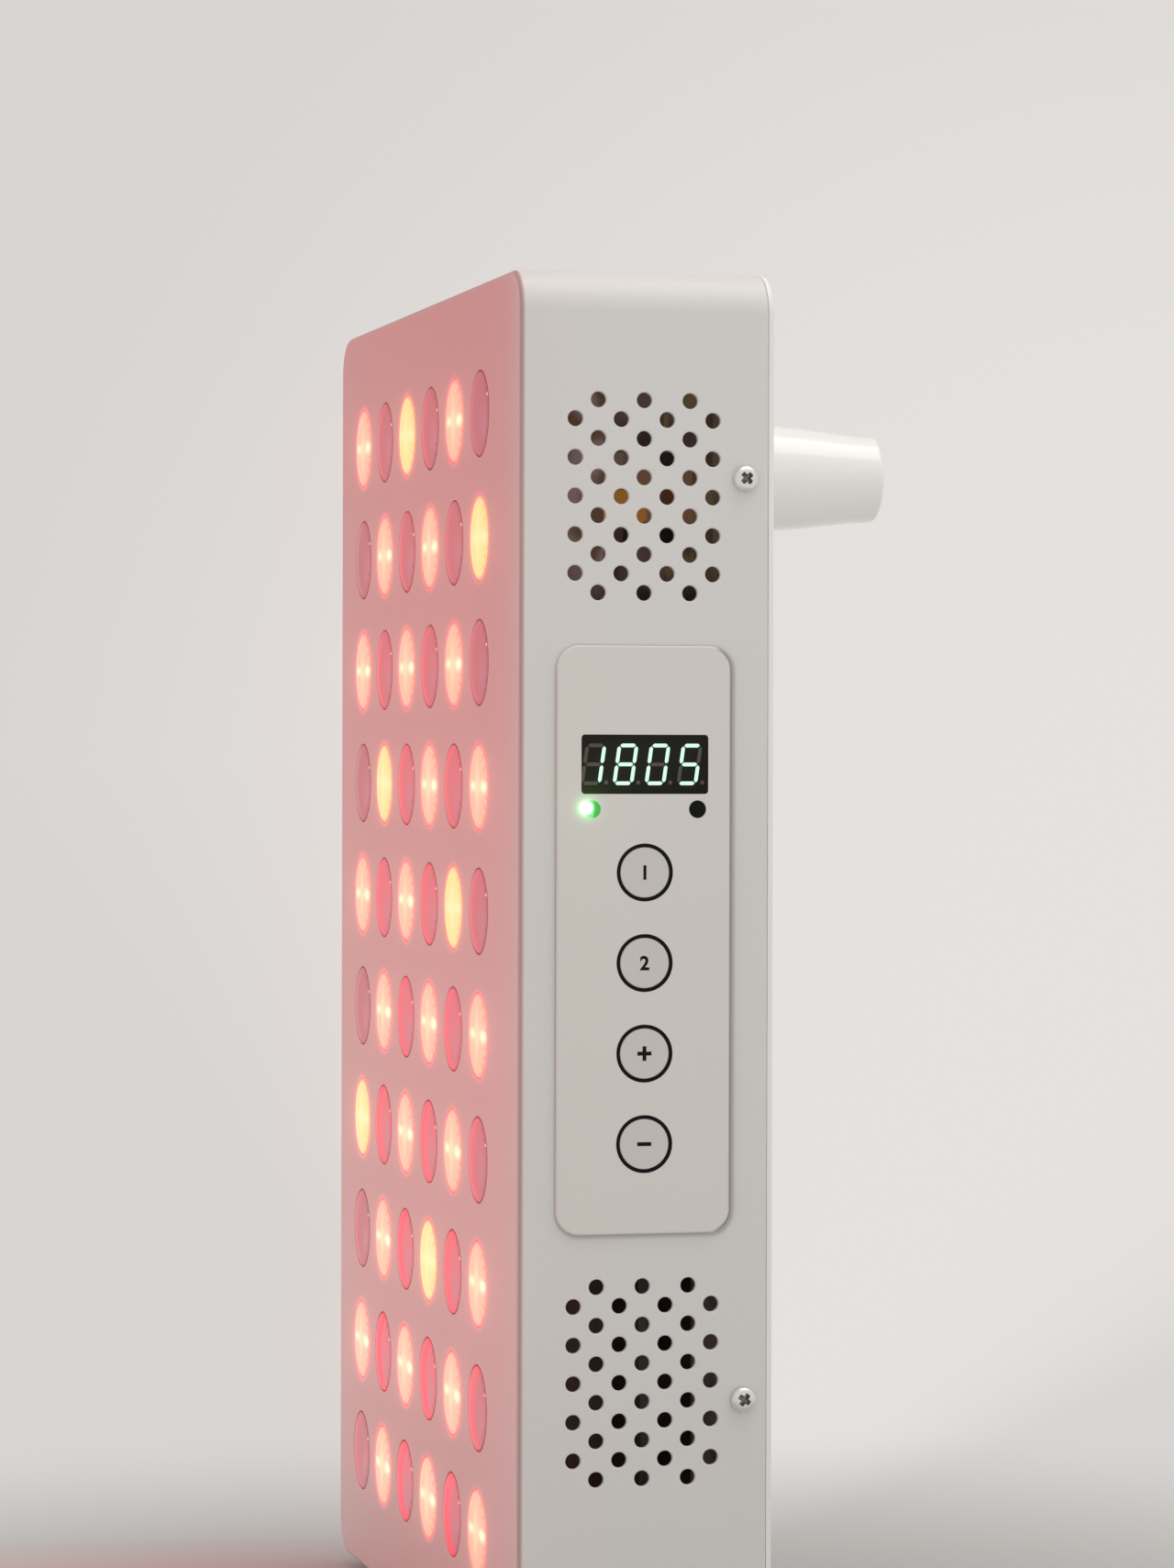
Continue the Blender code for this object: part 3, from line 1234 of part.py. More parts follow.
def fan_harness():
    """Lead between the two fans, past the end of the terminal block."""
    x = FAN_LEAD_OFFSET
    y = FAN_FACE_Y - FAN_LEAD_INSET
    start_z = CONTROL_Z + GRILLE_OFFSET - FAN_SIZE / 2 - CLEARANCE
    end_z = CONTROL_Z - GRILLE_OFFSET + FAN_SIZE / 2 + CLEARANCE
    points = []
    for station in range(5):
        share = station / 4
        sag = math.sin(share * math.pi) * FAN_LEAD_RADIUS
        points.append((x + sag, y, start_z + (end_z - start_z) * share))
    return tube(smooth_route(points, LEAD_STEPS), FAN_LEAD_RADIUS, LEAD_SIDES)


def build_case(device, white, rubber, steel):
    """Case, cover, feet, posts and the screws that hold them."""
    put("front_case", finished_case(), white, device)
    put("back_cover", back_cover(), white, device)
    foot = to_mesh(rubber_foot(), "rubber_foot")
    for index, (x, y) in enumerate(foot_places(), 1):
        put("rubber_foot_" + str(index), foot, rubber, device, (x, y, 0), False)
    post = to_mesh(rear_post(), "rear_post")
    gloss = finish_material("post_gloss_white", (0.86, 0.86, 0.85), 0.12)
    for index, (x, z) in enumerate(post_places(), 1):
        put("rear_post_" + str(index), post, gloss, device, (x, BACK_Y + CLEARANCE, z), False)
        place = (x, COVER_INNER_Y - CLEARANCE, z)
        put("post_screw_" + str(index), screw(POST_SCREW, place, "Y", -1), steel, device, place)
    number = 1
    for side in (1, -1):
        for z in cover_screw_places():
            place = (side * (SIDE_X + CLEARANCE), BACK_Y - COVER_SCREW_INSET, z)
            put("cover_screw_" + str(number), screw(COVER_SCREW, place, "X", side), steel, device, place)
            number += 1


def build_light(device):
    """Lens array, LED board and heatsink."""
    clear = finish_material("clear_lens", (0.90, 0.55, 0.52), 0.08)
    board = finish_material("white_board", (0.82, 0.82, 0.80), 0.45)
    aluminium = finish_material("plain_aluminium", (0.72, 0.73, 0.74), 0.35, 1.0)
    put("lens_array", lens_array(), clear, device)
    put("led_board", led_board(), board, device)
    put("heatsink", heatsink(), aluminium, device)


def build_controls(device, circuit):
    """Overlay, window, display, indicators, keys and the control board."""
    overlay_white = finish_material("overlay_white", (0.80, 0.79, 0.77), 0.22)
    dark_pane = finish_material("dark_pane", (0.02, 0.04, 0.035), 0.15)
    black = finish_material("display_black", (0.02, 0.02, 0.02), 0.40)
    put("control_overlay", control_overlay(), overlay_white, device)
    put("display_window", display_window(), dark_pane, device)
    put("display_module", display_module(), black, device)
    put("control_board", control_board(), circuit, device)
    press = key()
    for index, (y, z) in enumerate(key_places(), 1):
        put("key_" + str(index), press, overlay_white, device, (OVERLAY_FACE_X, y, z), False)
    pipe = indicator()
    green = finish_material("indicator_green", (0.10, 0.75, 0.15), 0.20)
    meshes = (("indicator_lit", green), ("indicator_dark", black))
    for (y, z), (name, material) in zip(indicator_places(), meshes):
        mesh = to_mesh(pipe.copy(), name)
        put(name, mesh, material, device, (OVERLAY_FACE_X, y, z), False)
    pipe.free()


def build_fans(device, black, steel):
    """Both fans, each under its own empty, with guard and screws."""
    frame = fan_frame()
    rotor = fan_rotor()
    guard = fan_guard()
    chrome = finish_material("bright_wire", (0.75, 0.75, 0.76), 0.18, 1.0)
    fan_screw = to_mesh(screw(FAN_SCREW, (0, 0, 0), "Y"), "fan_screw")
    for name, rise in FAN_RISES.items():
        fan = put_empty("fan_" + name, (0, FAN_FACE_Y, CONTROL_Z + rise), device)
        put("fan_frame_" + name, frame, black, fan, made_in_place=False)
        put("fan_rotor_" + name, rotor, black, fan, made_in_place=False)
        guard_y = BACK_Y + CLEARANCE - FAN_FACE_Y
        put("fan_guard_" + name, guard, chrome, fan, (0, guard_y, 0), False)
        head_y = guard_y + GUARD_EYELET_THICKNESS + CLEARANCE
        for index, (x, z) in enumerate(fan_corner_places(), 1):
            label = "fan_screw_" + name + "_" + str(index)
            put(label, fan_screw, steel, fan, (x, head_y, z), False)


def build_mains(device, black, steel):
    """Inlet, pins, screws, switch and terminal block."""
    brass = finish_material("pin_brass", (0.75, 0.66, 0.42), 0.30, 1.0)
    cream = finish_material("terminal_cream", (0.70, 0.68, 0.60), 0.50)
    put("power_inlet", power_inlet(), black, device)
    for name, (x, z) in zip(("live", "neutral", "earth"), pin_places()):
        put("inlet_pin_" + name, inlet_pin(x, z), brass, device)
    for index, (x, z) in enumerate(inlet_screw_places(), 1):
        place = (x, BACK_Y + 2 * CLEARANCE + INLET_FLANGE_THICKNESS, z)
        put("inlet_screw_" + str(index), screw(INLET_SCREW, place, "Y"), steel, device, place)
    put("switch_frame", switch_frame(), black, device)
    pivot = (SWITCH_SIDE_OFFSET, BACK_Y + CLEARANCE + SWITCH_BEZEL_THICKNESS / 2, MAINS_Z)
    put("switch_rocker", switch_rocker(), black, device, pivot, False)
    put("terminal_block", terminal_block(), cream, device)


def build_electronics(device, circuit, black):
    """Driver boards with their parts, and the harnesses."""
    amber = finish_material("amber_tape", (0.72, 0.42, 0.08), 0.35)
    grey = finish_material("grey_jacket", (0.30, 0.30, 0.31), 0.50)
    for index, (x, z) in enumerate(driver_centres(), 1):
        put("driver_board_" + str(index), driver_board(x, z), circuit, device)
        put("transformer_" + str(index), transformer(x, z), amber, device)
        put("capacitor_" + str(index), capacitor(x, z), black, device)
    put("mains_harness", mains_harness(), grey, device)
    put("control_harness", control_harness(), grey, device)
    put("led_harness", led_harness(), grey, device)
    put("fan_harness", fan_harness(), black, device)


def build():
    """Build the whole device under one empty."""
    clear_scene()
    device = put_empty("light_panel", (0, 0, 0))
    white = finish_material("powder_white", (0.80, 0.79, 0.78), 0.42)
    rubber = finish_material("foot_rubber", (0.03, 0.03, 0.03), 0.80)
    steel = finish_material("screw_steel", (0.78, 0.78, 0.77), 0.28, 1.0)
    circuit = finish_material("circuit_green", (0.04, 0.22, 0.10), 0.40)
    black = finish_material("black_plastic", (0.03, 0.03, 0.032), 0.45)
    build_case(device, white, rubber, steel)
    build_light(device)
    build_controls(device, circuit)
    build_fans(device, black, steel)
    build_mains(device, black, steel)
    build_electronics(device, circuit, black)


build()
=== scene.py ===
"""Red light therapy panel: the finish of every surface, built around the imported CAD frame.

Units are metres in the CAD's frame: +Z is up, the lit face looks along -Y and the control side is +X.
"""

import math

import bmesh
import bpy
import numpy as np
from mathutils import Matrix, Vector
from mathutils.geometry import delaunay_2d_cdt


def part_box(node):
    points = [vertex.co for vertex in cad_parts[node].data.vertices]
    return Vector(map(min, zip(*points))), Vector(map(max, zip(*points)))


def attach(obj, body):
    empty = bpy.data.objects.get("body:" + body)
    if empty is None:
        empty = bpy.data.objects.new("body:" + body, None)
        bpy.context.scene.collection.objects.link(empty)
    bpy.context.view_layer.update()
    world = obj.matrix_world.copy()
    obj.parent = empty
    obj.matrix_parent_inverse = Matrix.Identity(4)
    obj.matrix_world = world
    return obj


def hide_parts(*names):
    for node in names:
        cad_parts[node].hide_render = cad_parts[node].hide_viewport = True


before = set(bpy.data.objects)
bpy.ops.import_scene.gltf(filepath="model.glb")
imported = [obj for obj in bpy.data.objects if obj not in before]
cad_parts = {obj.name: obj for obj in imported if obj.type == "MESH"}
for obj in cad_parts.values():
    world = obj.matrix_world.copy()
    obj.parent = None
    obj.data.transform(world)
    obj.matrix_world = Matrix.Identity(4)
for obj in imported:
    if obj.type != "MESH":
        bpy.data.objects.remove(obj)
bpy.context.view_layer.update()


# Camera. A long lens at the photograph's viewing angle looks along the lit face from the control side,
# so the face shows as a narrow strip and the side stands nearly square on.
EYE = Vector((1.2065, -0.30365, 0.2230))
HEADING = math.radians(13.93)
DIP = math.radians(0.38)
ROLL = math.radians(0.14)
LENS_MM = 111.31
SENSOR_MM = 36.0


def linked(name, data):
    """A new object with its data, linked into the scene."""
    made = bpy.data.objects.new(name, data)
    bpy.context.scene.collection.objects.link(made)
    return made


ahead = Vector((-math.cos(HEADING) * math.cos(DIP), math.sin(HEADING) * math.cos(DIP), -math.sin(DIP)))
level_right = ahead.cross(Vector((0, 0, 1))).normalized()
level_up = level_right.cross(ahead)
camera_right = level_right * math.cos(ROLL) + level_up * math.sin(ROLL)
camera_up = level_up * math.cos(ROLL) - level_right * math.sin(ROLL)
camera_turn = Matrix((camera_right, camera_up, -ahead)).transposed().to_4x4()
camera_data = bpy.data.cameras.new("camera")
camera_data.lens = LENS_MM
camera_data.sensor_width = SENSOR_MM
camera = linked("camera", camera_data)
camera.matrix_world = Matrix.Translation(EYE) @ camera_turn
bpy.context.scene.camera = camera


# Studio. A pale floor takes on the room's own colour away from the panel, so no edge shows between them.
# A lamp hangs above. On three sides of the lit face stand rosy cards with pale outsides.
ROOM_TINT = (0.690, 0.662, 0.642)
BRIGHT_TINT = (0.790, 0.755, 0.733)
BRIGHT_TOWARDS = (-0.930, 0.365, -0.040)
BRIGHT_SPREAD = 0.962
FLOOR_TINT = (0.50, 0.50, 0.49)
FLOOR_REACH = 60.0
FLOOR_MIDDLE = (0.07, 0.0, 0.0)
FLOOR_NEAR = 0.10
FLOOR_FAR = 0.44
LAMP_PLACE = (0.33, 0.30, 1.30)
LAMP_SIZE = 0.9
LAMP_POWER = 4.5
CARD_PLANS = {
    "rosy_card_front": ((-0.135, -0.42), (0.113, -0.42), (0.86, 0.260, 0.280)),
    "rosy_card_left": ((-0.135, -0.42), (-0.135, -0.056), (0.82, 0.420, 0.400)),
    "rosy_card_right": ((0.113, -0.42), (0.113, -0.062), (0.80, 0.330, 0.340)),
    "pale_card_left": ((-0.136, -0.42), (-0.136, -0.056), ROOM_TINT),
    "pale_card_right": ((0.114, -0.42), (0.114, -0.062), ROOM_TINT)}
CARD_FOOT = 0.02
CARD_TOP = 0.95
CARD_FADE_TOP = 0.60
CARD_BRIGHT_LOW = 1.12
CARD_DIM_HIGH = 0.72
CARD_PALER_LOW = 1.22
CARD_PALER_RISE = (0.05, 0.28)


class Nodes:
    """Short calls that add nodes to one shader tree and return the new node's output."""

    def __init__(self, tree):
        self.tree = tree

    def feed(self, node, inputs):
        """Feed a node's inputs with sockets or plain values. A plain colour is given as three numbers."""
        for key, value in dict(inputs).items():
            socket = node.inputs[key]
            if isinstance(value, bpy.types.NodeSocket):
                self.tree.links.new(value, socket)
            else:
                socket.default_value = (*value, 1) if socket.type == "RGBA" else value

    def add(self, kind, inputs=(), output=0, **settings):
        """Add a shader node with its settings and inputs."""
        made = self.tree.nodes.new("ShaderNode" + kind)
        for name, value in settings.items():
            setattr(made, name, value)
        self.feed(made, inputs)
        return made.outputs[output]

    def mix(self, share, low, high):
        """Mix two colours by a share from 0 to 1."""
        return self.add("Mix", {0: share, 6: low, 7: high}, 2, data_type="RGBA")

    def ramp(self, value, low, high, to_low=0.0, to_high=1.0):
        """Carry a value smoothly from one range to another."""
        inputs = {"Value": value, "From Min": low, "From Max": high, "To Min": to_low, "To Max": to_high}
        return self.add("MapRange", inputs, interpolation_type="SMOOTHSTEP")

    def math(self, operation, first, second=0.0):
        """Work on two numbers."""
        return self.add("Math", {0: first, 1: second}, operation=operation)

    def times(self, first, *others):
        """The product of numbers."""
        for other in others:
            first = self.math("MULTIPLY", first, other)
        return first

    def vector(self, operation, first, second=(0, 0, 0), output=0):
        """Work on two places or directions."""
        return self.add("VectorMath", {0: first, 1: second}, output, operation=operation)

    def reach(self, place, origin=(0, 0, 0)):
        """The distance of a place from an origin."""
        return self.vector("DISTANCE", place, origin, 1)


class Paint(Nodes):
    """A Principled material. Its patterns read the place of a point in the object's own axes."""

    def __init__(self, name, tint, roughness, **sockets):
        self.material = bpy.data.materials.new(name)
        self.material.use_nodes = True
        super().__init__(self.material.node_tree)
        self.shader = self.tree.nodes["Principled BSDF"]
        self.put(Base_Color=tint, Roughness=roughness, **sockets)

    def put(self, **sockets):
        """Feed the shader's sockets, named with _ for a space."""
        self.feed(self.shader, {name.replace("_", " "): value for name, value in sockets.items()})

    def over(self, colour, tint, *shares):
        """Lay a tint over a colour by the product of shares."""
        return self.mix(self.times(*shares), colour, tint)

    def place(self):
        """The place of a point."""
        return self.add("TexCoord", output=3)

    def axis(self, index):
        """One number of the place: 0 for X, 1 for Y, 2 for Z."""
        return self.add("SeparateXYZ", {0: self.place()}, index)


def rectangle(name, corners, paint):
    """A single four-cornered face."""
    mesh = bpy.data.meshes.new(name)
    mesh.from_pydata(corners, [], [range(4)])
    mesh.materials.append(paint.material)
    return linked(name, mesh)


def room_colour(nodes, direction):
    """The room's colour in a direction: plain, and rising around the brightest direction."""
    towards = nodes.vector("DOT_PRODUCT", direction, BRIGHT_TOWARDS, 1)
    return nodes.mix(nodes.ramp(towards, BRIGHT_SPREAD, 1.0), ROOM_TINT, BRIGHT_TINT)


world = bpy.data.worlds.new("studio_room")
world.use_nodes = True
room = Nodes(world.node_tree)
room.feed(room.tree.nodes["Background"], {"Color": room_colour(room, room.add("TexCoord"))})
bpy.context.scene.world = world
bpy.context.scene.view_settings.view_transform = "Standard"

# Near the panel the floor is lit and a darker grey: real shadows fall on it, and its darker tint is painted
# shade that also throws less light back onto the panel's lower side.
floor_paint = Paint("pale_floor", FLOOR_TINT, 0.9, Specular_IOR_Level=0)
floor_place = floor_paint.place()
floor_direction = floor_paint.vector("NORMALIZE", floor_place)
floor_glow = floor_paint.add("Emission", {"Color": room_colour(floor_paint, floor_direction)})
floor_share = floor_paint.ramp(floor_paint.reach(floor_place, FLOOR_MIDDLE), FLOOR_NEAR, FLOOR_FAR)
floor_mix = floor_paint.add("MixShader", {0: floor_share, 1: floor_paint.shader.outputs[0], 2: floor_glow})
floor_paint.feed(floor_paint.tree.nodes["Material Output"], {"Surface": floor_mix})
floor_signs = ((-1, -1), (1, -1), (1, 1), (-1, 1))
floor = rectangle("floor", [(u * FLOOR_REACH, v * FLOOR_REACH, 0) for u, v in floor_signs], floor_paint)

for name, (start, end, tint) in CARD_PLANS.items():
    card_paint = Paint(name, (0, 0, 0), 1.0, Emission_Color=tint, Emission_Strength=1.0, Specular_IOR_Level=0)
    if name.startswith("rosy"):
        rise = card_paint.axis(2)
        paler = (tint[0], tint[1] * CARD_PALER_LOW, tint[2] * CARD_PALER_LOW)
        card_paint.put(
            Emission_Color=card_paint.mix(card_paint.ramp(rise, *CARD_PALER_RISE), paler, tint),
            Emission_Strength=card_paint.ramp(rise, 0.0, CARD_FADE_TOP, CARD_BRIGHT_LOW, CARD_DIM_HIGH))
    card = rectangle(
        name, [(*start, CARD_FOOT), (*start, CARD_TOP), (*end, CARD_TOP), (*end, CARD_FOOT)], card_paint)
    card.visible_camera = False

lamp_data = bpy.data.lights.new("overhead_lamp", "AREA")
lamp_data.size = LAMP_SIZE
lamp_data.energy = LAMP_POWER
lamp = linked("overhead_lamp", lamp_data)
lamp.location = LAMP_PLACE
lamp.visible_camera = False


# Front case. White powder-coated steel sheet, punched with 60 LED holes and two grilles, then folded into a
# tray with rounded corners. Its inside is bare primer, with welded studs and pillars for the boards.
CASE_LOW, CASE_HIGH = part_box("front_case")
SHEET = 0.0012
CORNER = 0.0100
FOLD = 0.0018
HOLE_ROLL = 0.0003
RIM_ROLL = 0.0003
LED_COLUMNS = 6
LED_ROWS = 10
LED_FIRST = (-0.0764, 0.3045)
LED_PITCH = (0.0284, 0.0300)
LED_HOLE_RADIUS = 0.0105
CONTROL_CENTRE = np.array((-0.01735, 0.1790))
GRILLE_ROWS = 11
GRILLE_ROW_PITCH = 0.00451
GRILLE_HALF_PITCH = 0.00555
GRILLE_RISE = 0.1038
GRILLE_HOLE_RADIUS = 0.00185
COVER_SCREW_Y = 0.00705
COVER_SCREW_HEIGHTS = (0.2874, 0.0706)
COVER_SCREW_HOLE = 0.0018
KEY_PITCH = 0.0212
KEY_FIRST_RISE = 0.0158
KEY_STEM_HOLE = 0.0021
INDICATOR_REACH = 0.01275
INDICATOR_RISE = 0.0306
INDICATOR_HOLE = 0.00235
WINDOW_SIZE = np.array((0.0306, 0.0138))
WINDOW_RISE = 0.0411
GAP = 0.0003
CUT_CORNER = 0.0006
SIGNS = np.array([(u, v) for u in (-1, 1) for v in (-1, 1)])
FOOT_PLACES = [(-0.0875, -0.03365), (0.0875, -0.03365), (-0.0875, 0.00035), (0.0875, 0.00035)]
FOOT_STEM_HOLE = 0.0027
STUD_PLACES = CONTROL_CENTRE + SIGNS * (0.0145, 0.0600)
STUD_SIZE = (0.0025, 0.0068)
PILLAR_PLACES = [(u * 0.0600, z) for u in (-1, 1) for z in (0.3235, 0.0155)]
PILLAR_SIZE = (0.0030, 0.0114)
POWDER_TINT = (0.770, 0.765, 0.750)
PRIMER_TINT = (0.075, 0.058, 0.050)
FOLD_SHADE_TINT = (0.5082, 0.3519, 0.3375)
SPILL_WIDTH = 0.0017
SPILL_TINT = (1.0, 0.090, 0.085)
SPILL_STRENGTH = 0.55
SPILL_FADE = 0.06
OVERLAY_SHADOW_SHIFT = 0.00045
OVERLAY_SHADOW_CORNER = 0.0055
OVERLAY_SHADOW_REACH = 0.0010
OVERLAY_SHADOW_SHARE = 0.40
OVERLAY_SHADOW_TINT = (0.30, 0.28, 0.26)
WARM_LENSES = [(1, 3), (2, 6), (4, 2), (5, 5), (7, 1), (8, 4)]


def circle(sides):
    """Directions of equal turns round a circle."""
    turns = np.arange(sides) / sides * 2 * math.pi
    return np.stack([np.cos(turns), np.sin(turns)], axis=1)


def rounded_outline(low, high, radius, steps=4):
    """Points and outward directions of a rectangle with quarter-circle corners, anticlockwise from the upper
    right corner: each corner's centre plus the radius along directions that turn by equal steps."""
    turns = (np.linspace(0, math.pi / 2, steps + 1) + np.arange(4)[:, None] * math.pi / 2).ravel()
    directions = np.stack([np.cos(turns), np.sin(turns)], axis=1)
    left, bottom = np.array(low) + radius
    right, top = np.array(high) - radius
    centres = np.array([(right, top), (left, top), (left, bottom), (right, bottom)])
    return np.repeat(centres, steps + 1, axis=0) + radius * directions, directions


def rectangle_outline(centre, size, radius, steps=4):
    """A rounded rectangle about a centre."""
    half = np.array(size) / 2
    return rounded_outline(np.array(centre) - half, np.array(centre) + half, radius, steps)


def box_outline(node, across, radius, steps=4):
    """A rounded rectangle round a node's box, across X (0) or Y (1) and up Z."""
    low, high = np.array(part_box(node))[:, [across, 2]]
    return rounded_outline(low, high, radius, steps)


def round_outline(centre, radius, sides):
    """Points and outward directions of a circle: its centre plus the radius along equal turns."""
    return np.array(centre) + radius * circle(sides), circle(sides)


def round_holes(centres, radius, sides=20):
    """The outlines of equal round holes."""
    return [round_outline(centre, radius, sides) for centre in centres]


def carried(outline, profile):
    """Rings of (across, up, depth): each profile row moves the outline outwards and sets its depth."""
    points, directions = outline
    rows = np.array(profile, float)
    flat = points + rows[:, 0, None, None] * directions
    depth = np.broadcast_to(rows[:, 1, None, None], flat.shape[:2] + (1,))
    return np.concatenate([flat, depth], axis=2)


def quarter(radius, steps=5):
    """Rows of a quarter circle: the radius times the sine, and times one less the cosine."""
    turns = np.linspace(0, math.pi / 2, steps + 1)
    return radius * np.stack([np.sin(turns), 1 - np.cos(turns)], axis=1)


def rolled(radius):
    """Profile rows of a hole's rolled edge: a quarter circle from one radius beyond the outline to the
    outline itself, one radius deep."""
    return quarter(radius, 3) * (-1, 1) + (radius, 0)


def belt(rings, finish=0, closed=True):
    """Quads between rings of equal count: each joins two neighbours with the same two on the next ring."""
    index = np.arange(rings.shape[0] * rings.shape[1]).reshape(rings.shape[:2])
    if closed:
        index = np.concatenate([index, index[:, :1]], axis=1)
    quads = np.stack([index[:-1, :-1], index[:-1, 1:], index[1:, 1:], index[1:, :-1]], axis=-1).reshape(-1, 4)
    return rings.reshape(-1, 3), quads, finish


def net(loops):
    """Triangles between an outer loop and the loops inside it: the constrained Delaunay net of all their
    points, without the triangles whose three corners lie on one inner loop."""
    points = np.concatenate(loops)
    counts = np.array([len(loop) for loop in loops])
    ends = np.cumsum(counts)
    owner = np.repeat(np.arange(len(loops)), counts)
    following = np.arange(len(points)) + 1
    following[ends - 1] = ends - counts
    edges = np.stack([np.arange(len(points)), following], axis=1)
    made = delaunay_2d_cdt([Vector(point) for point in points.tolist()], edges.tolist(), [], 0, 1e-8)
    triangles = np.concatenate(made[3])[np.array(made[2])]
    owners = owner[triangles]
    in_hole = (owners[:, 0] > 0) & (owners[:, 0] == owners[:, 1]) & (owners[:, 1] == owners[:, 2])
    return triangles[~in_hole]


def skins(front, back, holes, roll, back_finish=0, collar=0.0):
    """Both skins of a flat sheet between two outline rings, and its holes, whose edges roll in at the front.
    A collar is a flat ring of faces around each hole."""
    profile = np.concatenate([rolled(roll), [(0, back[0, 2] - front[0, 2])]])
    if collar:
        profile = np.concatenate([[(roll + collar, 0)], profile])
    rings = [carried(hole, profile + (0, front[0, 2])) for hole in holes]
    triangles = net([front[:, :2]] + [ring[0, :, :2] for ring in rings])
    blocks = [(np.concatenate([front] + [ring[0] for ring in rings]), triangles, 0)]
    blocks.append((np.concatenate([back] + [ring[-1] for ring in rings]), triangles, back_finish))
    return blocks + [belt(ring) for ring in rings]


def wall(low, high, holes):
    """Both skins of a wall of the tray between its bends."""
    corners = [(high[0], high[1]), (low[0], high[1]), (low[0], low[1]), (high[0], low[1])]
    front, back = (np.column_stack([corners, np.full(4, depth)]) for depth in (0, SHEET))
    return skins(front, back, holes, HOLE_ROLL, 1)


def laid(blocks, origin, across, up, inward):
    """Place blocks of (across, up, depth) on a plane: the origin plus each number along its direction."""
    axes = np.array([across, up, inward], float)
    return [(np.array(origin) + points @ axes, faces, finish) for points, faces, finish in blocks]


def on_face(blocks, y, inward):
    """Place blocks on a plane at one Y, across X and up Z, with depth along +Y or -Y."""
    return laid(blocks, (0, y, 0), (1, 0, 0), (0, 0, 1), (0, inward, 0))


def on_side(blocks, x, sign=1):
    """Place blocks on a side, across Y and up Z, with depth towards the middle."""
    return laid(blocks, (x, 0, 0), (0, 1, 0), (0, 0, 1), (-sign, 0, 0))


def turned(profile, sides, centre, axis):
    """Rings of a turned piece: each profile row gives a radius and a place along the axis."""
    axis = np.array(axis, float)
    spoke = np.abs(np.roll(axis, 1))
    spokes = circle(sides)[:, :1] * spoke + circle(sides)[:, 1:] * np.cross(axis, spoke)
    rows = np.array(profile, float)
    return np.array(centre) + rows[:, 0, None, None] * spokes + rows[:, 1, None, None] * axis


def peg(size, base, axis, finish=0):
    """A plain round peg of a radius and a length."""
    radius, length = size
    return belt(turned([(0, 0), (radius, 0), (radius, length), (0, length)], 24, base, axis), finish)


def fitted(piece, body, slot, *nodes):
    """Hang a finished piece on its body and let it stand for its CAD nodes. The slot is not used."""
    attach(piece, body)
    if nodes:
        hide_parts(*nodes)
    return piece


def surface(name, blocks, paints, body, slot, *nodes, smooth_degrees=32, weighted=False):
    """One fitted piece from blocks of points, faces and finish, merged and with its faces outwards."""
    starts = np.cumsum([0] + [len(block[0]) for block in blocks])
    faces = [row for start, block in zip(starts, blocks) for row in (block[1] + start).tolist()]
    mesh = bpy.data.meshes.new(name)
    mesh.from_pydata(np.concatenate([block[0] for block in blocks]), [], faces)
    for paint in paints:
        mesh.materials.append(paint.material)
    finishes = np.concatenate([np.full(len(block[1]), block[2]) for block in blocks])
    mesh.polygons.foreach_set("material_index", finishes)
    shape = bmesh.new()
    shape.from_mesh(mesh)
    bmesh.ops.remove_doubles(shape, verts=shape.verts, dist=2e-6)
    bmesh.ops.recalc_face_normals(shape, faces=shape.faces)
    shape.to_mesh(mesh)
    shape.free()
    mesh.shade_smooth()
    mesh.set_sharp_from_angle(angle=math.radians(smooth_degrees))
    made = linked(name, mesh)
    if weighted:
        evened = made.modifiers.new("even_shading", "WEIGHTED_NORMAL")
        evened.keep_sharp = True
    return fitted(made, body, slot, *nodes)


def noise(paint, scale, detail=2.0, stretch=None):
    """Noise at a scale. A stretch draws it out along the axes where it is small, as rolling marks are."""
    place = paint.place()
    if stretch:
        place = paint.add("Mapping", {"Vector": place, "Scale": stretch})
    return paint.add("TexNoise", {"Vector": place, "Scale": scale, "Detail": detail})


def clouded(paint, clouds, tint, low, high=1.0):
    """A tint that clouds darken to a low share of itself and brighten to a high one."""
    return paint.mix(clouds, *[[min(1, value * share) for value in tint] for share in (low, high)])


def bumped(paint, height, strength, distance):
    """Raise a surface by a pattern."""
    paint.put(Normal=paint.add("Bump", {"Strength": strength, "Distance": distance, "Height": height}))


def coated(paint, tint, roughness, clouds, shares, swing, shading=None):
    """A tint and a roughness that vary with clouds. Shading is a function that alters the colour by place."""
    colour = clouded(paint, clouds, tint, *shares)
    if shading:
        colour = shading(paint, colour)
    rough = paint.ramp(clouds, 0.3, 0.7, roughness + swing[0], roughness + swing[1])
    paint.put(Base_Color=colour, Roughness=rough)


def powder_coat(name, tint, roughness=0.42, grain=0.00022, shading=None):
    """Baked powder paint: one tint with faint clouds, and an orange-peel bump of fine ripples."""
    paint = Paint(name, tint, roughness)
    coated(paint, tint, roughness, noise(paint, 9.0, 3.0), (0.985, 1.015), (-0.03, 0.03), shading)
    bumped(paint, noise(paint, 620.0), 0.25, grain)
    return paint


def beyond_overlay(paint, corner, shift=0.0):
    """How far a place of the control side lies beyond a rectangle one corner radius smaller than the overlay,
    shifted back and down: the length of its distances past the rectangle's straight sides."""
    low, high = np.array(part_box("control_overlay"))[:, 1:]
    from_middle = paint.vector("SUBTRACT", paint.place(), (0, *(low + high) / 2 + (shift, -shift)))
    mirrored = paint.vector("ABSOLUTE", paint.vector("MULTIPLY", from_middle, (0, 1, 1)))
    past = paint.vector("SUBTRACT", mirrored, (0, *(high - low) / 2 - corner))
    return paint.reach(paint.vector("MAXIMUM", past))


